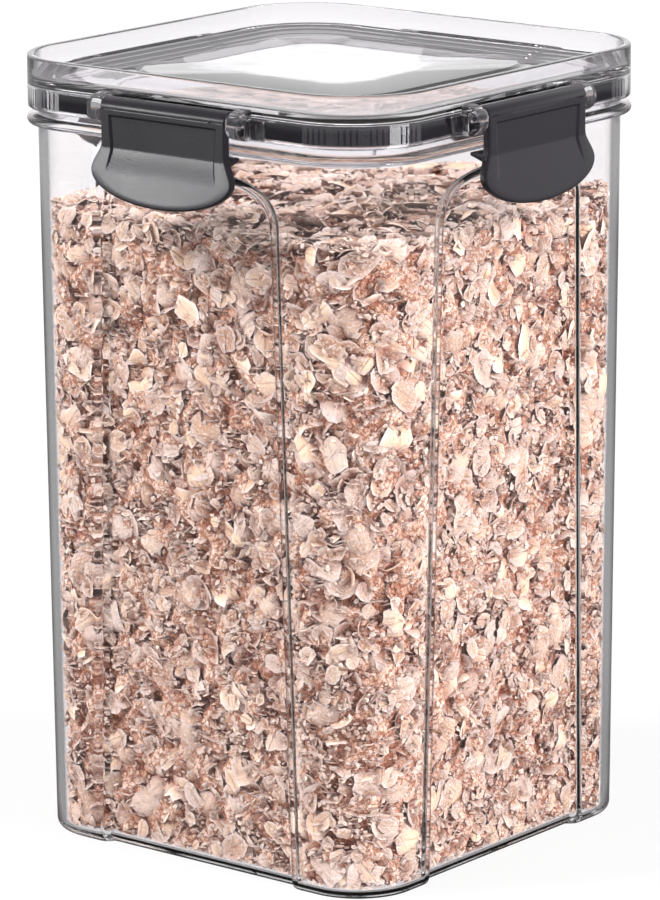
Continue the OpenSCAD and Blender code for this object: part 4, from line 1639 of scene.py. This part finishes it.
    def bed(self, rng: np.random.Generator, finish: bpy.types.Material) -> bpy.types.Object:
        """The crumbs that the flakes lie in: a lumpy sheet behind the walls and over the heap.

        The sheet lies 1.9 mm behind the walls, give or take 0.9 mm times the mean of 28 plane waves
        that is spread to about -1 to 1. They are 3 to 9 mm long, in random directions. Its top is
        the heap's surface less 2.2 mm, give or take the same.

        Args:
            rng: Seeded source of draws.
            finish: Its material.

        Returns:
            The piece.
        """
        up = np.linspace(self.floor + 1.2, self.level - 2.5, 155)
        over = np.linspace(47, 0, 36)
        half = np.concatenate([[0, 25, 44], np.full(len(up), 60.0), over])
        z = np.concatenate([np.full(3, up[0]), up, np.full(len(over), 0.0)])
        grid = around(half, z, np.linspace(-1, 1, 78), 20, half - np.minimum(half * 0.72, CORE))
        aim = rng.normal(size=(28, 3))
        aim /= np.linalg.norm(aim, axis=1, keepdims=True) * rng.uniform(3, 9, (28, 1)) / (2 * np.pi)

        def wavy(points: Array) -> Array:
            """Mean of the waves, spread to about -1 to 1."""
            return np.sin(points @ aim.T + np.arange(28)).mean(-1) * 4.5

        rows, most = slice(3, 3 + len(up)), 1.2
        flat = self.press(grid[rows], np.zeros(grid[rows].shape[:2]))
        grid[rows] = self.press(grid[rows], 1.9 + 0.9 * np.clip(wavy(flat), -most, most))
        top = grid[3 + len(up):]
        top[..., 2] = self.dome(top[..., 0], top[..., 1]) - 1.2
        top[..., 2] += 0.9 * np.clip(wavy(top), -most, most) - 1.0
        work = Patchwork()
        # Its deep mark sets how much painted shade the bed gets.
        work.add(grid, wrap=True, deep=self.buried(grid))
        return dress(work.build("oat_bed"), finish, "jar")

    def build(self, skin: bpy.types.Material, crumbs: bpy.types.Material) -> None:
        """Builds the flakes in several meshes, and the bed they lie in.

        Args:
            skin: The flakes' material.
            crumbs: The bed's material.
        """
        rng = np.random.default_rng(SEED)
        whole, part, crumb = (3.0, 4.8), (1.3, 2.9), (0.3, 0.95)
        walls = [Batch(150, whole, "flat", 14), Batch(300, whole, "wall", 14),
                 Batch(1300, part, "wall", 9), Batch(7600, crumb, "crumb", 5, False)]
        top = [Batch(700, whole, "top", 14), Batch(1100, part, "top", 9),
               Batch(6000, crumb, "top", 5, False)]
        for name, batches in [*((str(k), walls) for k in range(1, 7)), ("top", top)]:
            self.piece(f"oat_flakes_{name}", rng, batches, skin)
        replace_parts(self.bed(rng, crumbs), "rolled_oats")


# ---- studio ----------------------------------------------------------------------------


@dataclass
class Studio:
    """Camera, lamps, floor and white surroundings.

    Attributes:
        eye: Place of the camera, in metres.
        aim: Point that it looks at.
        roll: Its turn about that line, in degrees.
        lens: Its focal length for a sensor 36 mm wide.
        sky: Strength of the surroundings as soft light.
        sheen: Their strength in reflections on the viewer's side.
        far_sheen: The same on the far side.
        inner: Their strength for a ray that was mirrored and then left the plastic.
        low_sheen: Strength of the floor in reflections near the canister.
        low_inner: The floor's strength for a ray that was mirrored and then left the plastic.
        glow: The floor's strength to the eye near the canister; it is 1 far away.
    """

    eye: tuple[float, float, float] = (0.74599, -0.92397, 0.37274)
    aim: tuple[float, float, float] = (-0.0009, 0.00018, 0.08895)
    roll: float = -0.334
    lens: float = 208.65
    sky: float = 0.22
    sheen: float = 0.6
    far_sheen: float = 1.45
    inner: float = 0.75
    low_sheen: float = 0.02
    low_inner: float = 0.22
    glow: float = 0.86

    def camera(self) -> bpy.types.Object:
        """Places the camera: it looks from the eye at the aim and is rolled about that line.

        Returns:
            The camera.
        """
        data = bpy.data.cameras.new("camera")
        data.lens, data.sensor_width = self.lens, 36.0
        data.clip_start, data.clip_end = 0.05, 50.0
        cam = in_scene("camera", data)
        look = (Vector(self.aim) - Vector(self.eye)).normalized()
        turn = look.to_track_quat("-Z", "Y").to_matrix().to_4x4()
        roll = Matrix.Rotation(math.radians(self.roll), 4, "Z")
        cam.matrix_world = Matrix.Translation(self.eye) @ turn @ roll
        bpy.context.scene.camera = cam
        return cam

    def lamp(self, name: str, azimuth: float, elevation: float, distance: float, size: tuple[float, float],
             power: float, **seen: bool) -> bpy.types.Object:
        """Places a rectangular soft lamp that faces the canister's middle.

        Args:
            name: Its name.
            azimuth: Direction it stands in, in degrees from the front towards the right.
            elevation: Degrees above the horizon.
            distance: Metres from the canister's middle.
            size: Width and height.
            power: Power in watts.
            **seen: Ray visibility settings.

        Returns:
            The lamp.
        """
        data = bpy.data.lights.new(name, "AREA")
        data.shape, data.size, data.size_y, data.energy = "RECTANGLE", size[0], size[1], power
        lamp = in_scene(name, data)
        a, e = math.radians(azimuth), math.radians(elevation)
        away = Vector((math.sin(a) * math.cos(e), -math.cos(a) * math.cos(e), math.sin(e)))
        middle = Vector((0, 0, 0.09))
        turn = away.to_track_quat("Z", "Y").to_matrix().to_4x4()
        lamp.matrix_world = Matrix.Translation(middle + away * distance) @ turn
        for key, value in seen.items():
            setattr(lamp, key, value)
        return lamp

    def look(self, s: NodeSheet, light: float, mirror: Socket, inside: float, white: object) -> Socket:
        """How strong the surroundings look along each kind of ray.

        Args:
            s: The sheet to make the nodes on.
            light: Strength for soft light.
            mirror: Strength in a surface's reflection.
            inside: Strength for a ray that was mirrored and then left the plastic.
            white: Strength for the eye's own rays, straight or through the plastic.

        Returns:
            The strength.
        """
        path = s.node("ShaderNodeLightPath").outputs
        diffuse, gone_through = path["Is Diffuse Ray"], path["Is Transmission Ray"]
        bounced = s.math("MINIMUM", path["Glossy Depth"], 1.0)
        straight = s.times(s.math("SUBTRACT", 1.0, bounced), white)
        through = s.math("ADD", s.times(bounced, inside), straight)
        glossy = s.math("SUBTRACT", path["Is Glossy Ray"], gone_through, clamp=True)
        near = s.math("ADD", s.times(diffuse, light), s.times(glossy, mirror))
        far = s.math("ADD", s.times(gone_through, through), s.times(path["Is Camera Ray"], white))
        return s.math("ADD", near, far)

    def surroundings(self) -> None:
        """White to the eye and through the plastic, with other strengths in reflections and as light.

        The reflected strength rises from the viewer's side to the far side with a smooth step.
        """
        world = bpy.data.worlds.new("studio")
        bpy.context.scene.world = world
        world.use_nodes = True
        s = NodeSheet("studio", world.node_tree)
        way = s.node("ShaderNodeTexCoord").outputs["Generated"]
        behind = s.node("ShaderNodeVectorMath", {0: way, 1: (-self.eye[0], -self.eye[1], 0.0)},
                        operation="DOT_PRODUCT").outputs["Value"]
        mirror = s.span(behind, 0.1, 1.0, self.sheen, self.far_sheen, ease=True)
        strength = self.look(s, self.sky, mirror, self.inner, 1.0)
        look = s.node("ShaderNodeBackground", {0: (1, 1, 1, 1), 1: strength}).outputs[0]
        s.tree.links.new(look, s.node("ShaderNodeOutputWorld").inputs[0])

    def floor(self) -> bpy.types.Object:
        """Makes a plain floor that is white to the eye and keeps a soft shadow.

        Returns:
            The floor.
        """
        s = NodeSheet("studio_floor")
        far = s.node("ShaderNodeVectorMath", {0: s.place()}, operation="LENGTH").outputs["Value"]
        white = s.span(far, 0.15, 1.1, self.glow, 1.0)
        mirror = s.span(far, 0.7, 0.9, self.low_sheen, self.sheen, ease=True)
        diffuse = s.node("ShaderNodeLightPath").outputs["Is Diffuse Ray"]
        grey = s.mix(diffuse, (0.08, 0.08, 0.08), (0.8, 0.8, 0.8))
        matt = s.node("ShaderNodeBsdfDiffuse", {0: grey}).outputs[0]
        strength = self.look(s, 0.0, mirror, self.low_inner, white)
        glow = s.node("ShaderNodeEmission", {0: (1, 1, 1, 1), 1: strength}).outputs[0]
        material = s.finish(s.node("ShaderNodeAddShader", {0: matt, 1: glow}).outputs[0])
        mesh = bpy.data.meshes.new("floor")
        r, low = 6.0, -0.0002
        mesh.from_pydata([(-r, -r, low), (r, -r, low), (r, r, low), (-r, r, low)], [], [(0, 1, 2, 3)])
        mesh.materials.append(material)
        obj = in_scene("floor", mesh)
        return obj

    def lamps(self) -> None:
        """Places the lamps. The cards only show in reflections, and only in those of the clips."""
        soft = {"visible_glossy": False, "visible_camera": False}
        card = {"visible_diffuse": False, "visible_camera": False, "visible_transmission": False}
        clips = bpy.data.collections.new("clips")
        for obj in [o for o in bpy.context.scene.objects if o.name.endswith("clip_moulding")]:
            clips.objects.link(obj)
        for name, azimuth, elevation, distance, size, power, seen in (
                ("key", -52, 26, 1.5, (0.75, 0.9), 11.5, soft),
                ("card", -38, 8.5, 1.5, (0.75, 0.28), 16.5, card),
                ("side_card", 141, 4, 1.5, (0.9, 0.9), 2.3, card),
                ("over", -40, 46, 1.4, (0.35, 0.35), 22.5, soft),
                ("fill", 102, 26, 1.5, (0.8, 0.7), 43.0, soft),
                ("top", 20, 80, 1.3, (0.8, 0.8), 6.0, soft)):
            lamp = self.lamp(name, azimuth, elevation, distance, size, power, **seen)
            if seen is card:
                lamp.light_linking.receiver_collection = clips

    def build(self) -> None:
        """Sets up the camera, surroundings, floor, lamps, colour handling and bounces."""
        self.camera()
        self.surroundings()
        self.floor()
        self.lamps()
        scene = bpy.context.scene
        scene.view_settings.view_transform = "Standard"
        for setting, value in (("max_bounces", 20), ("transmission_bounces", 18), ("diffuse_bounces", 4),
                               ("glossy_bounces", 8), ("transparent_max_bounces", 24),
                               ("caustics_reflective", False), ("caustics_refractive", False)):
            setattr(scene.cycles, setting, value)


@dataclass
class Canister:
    """The whole canister: jar, lid with its sealing ring, four clips and the oats in it."""

    jar: Jar = field(default_factory=Jar)
    lid: Lid = field(default_factory=Lid)
    clip: Clip = field(default_factory=Clip)

    def build(self, frame: dict) -> None:
        """Builds every sub-assembly in order.
        """
        # The second colour of each clear plastic is its edge colour: partly its tint, partly painted shade.
        clear = ClearPlastic("jar_plastic", (0.98, 0.97, 0.984), (0.20, 0.175, 0.215))
        self.jar.build(clear.make())
        clear = ClearPlastic("lid_plastic", (0.97, 0.957, 0.98), (0.30, 0.27, 0.32), most=0.75)
        self.lid.build(clear.make())
        ring = frame["nodes"]["lid_gasket"]
        ring.data.materials.clear()
        ring.data.materials.append(SealRubber().make())
        LOG.info("lid_gasket: kept from the frame")
        satin = SatinPlastic("clip_satin", (0.009, 0.008, 0.0105), 0.29).make()
        for side in Side:
            self.clip.build(side, satin)
        Flakes(self.jar).build(OatSkin().make(), OatBed().make())


def corners(box: tuple[Vector, Vector]) -> list[list[float]]:
    """A box's two corners as plain lists."""
    return [[float(v) for v in corner] for corner in box]


def main() -> None:
    """Builds the canister and the studio."""
    logging.basicConfig(level=logging.INFO, format="%(name)s: %(message)s")
    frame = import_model()
    Canister().build(frame)
    Studio().build()
    bpy.context.view_layer.update()


if __name__ == "__main__":
    main()
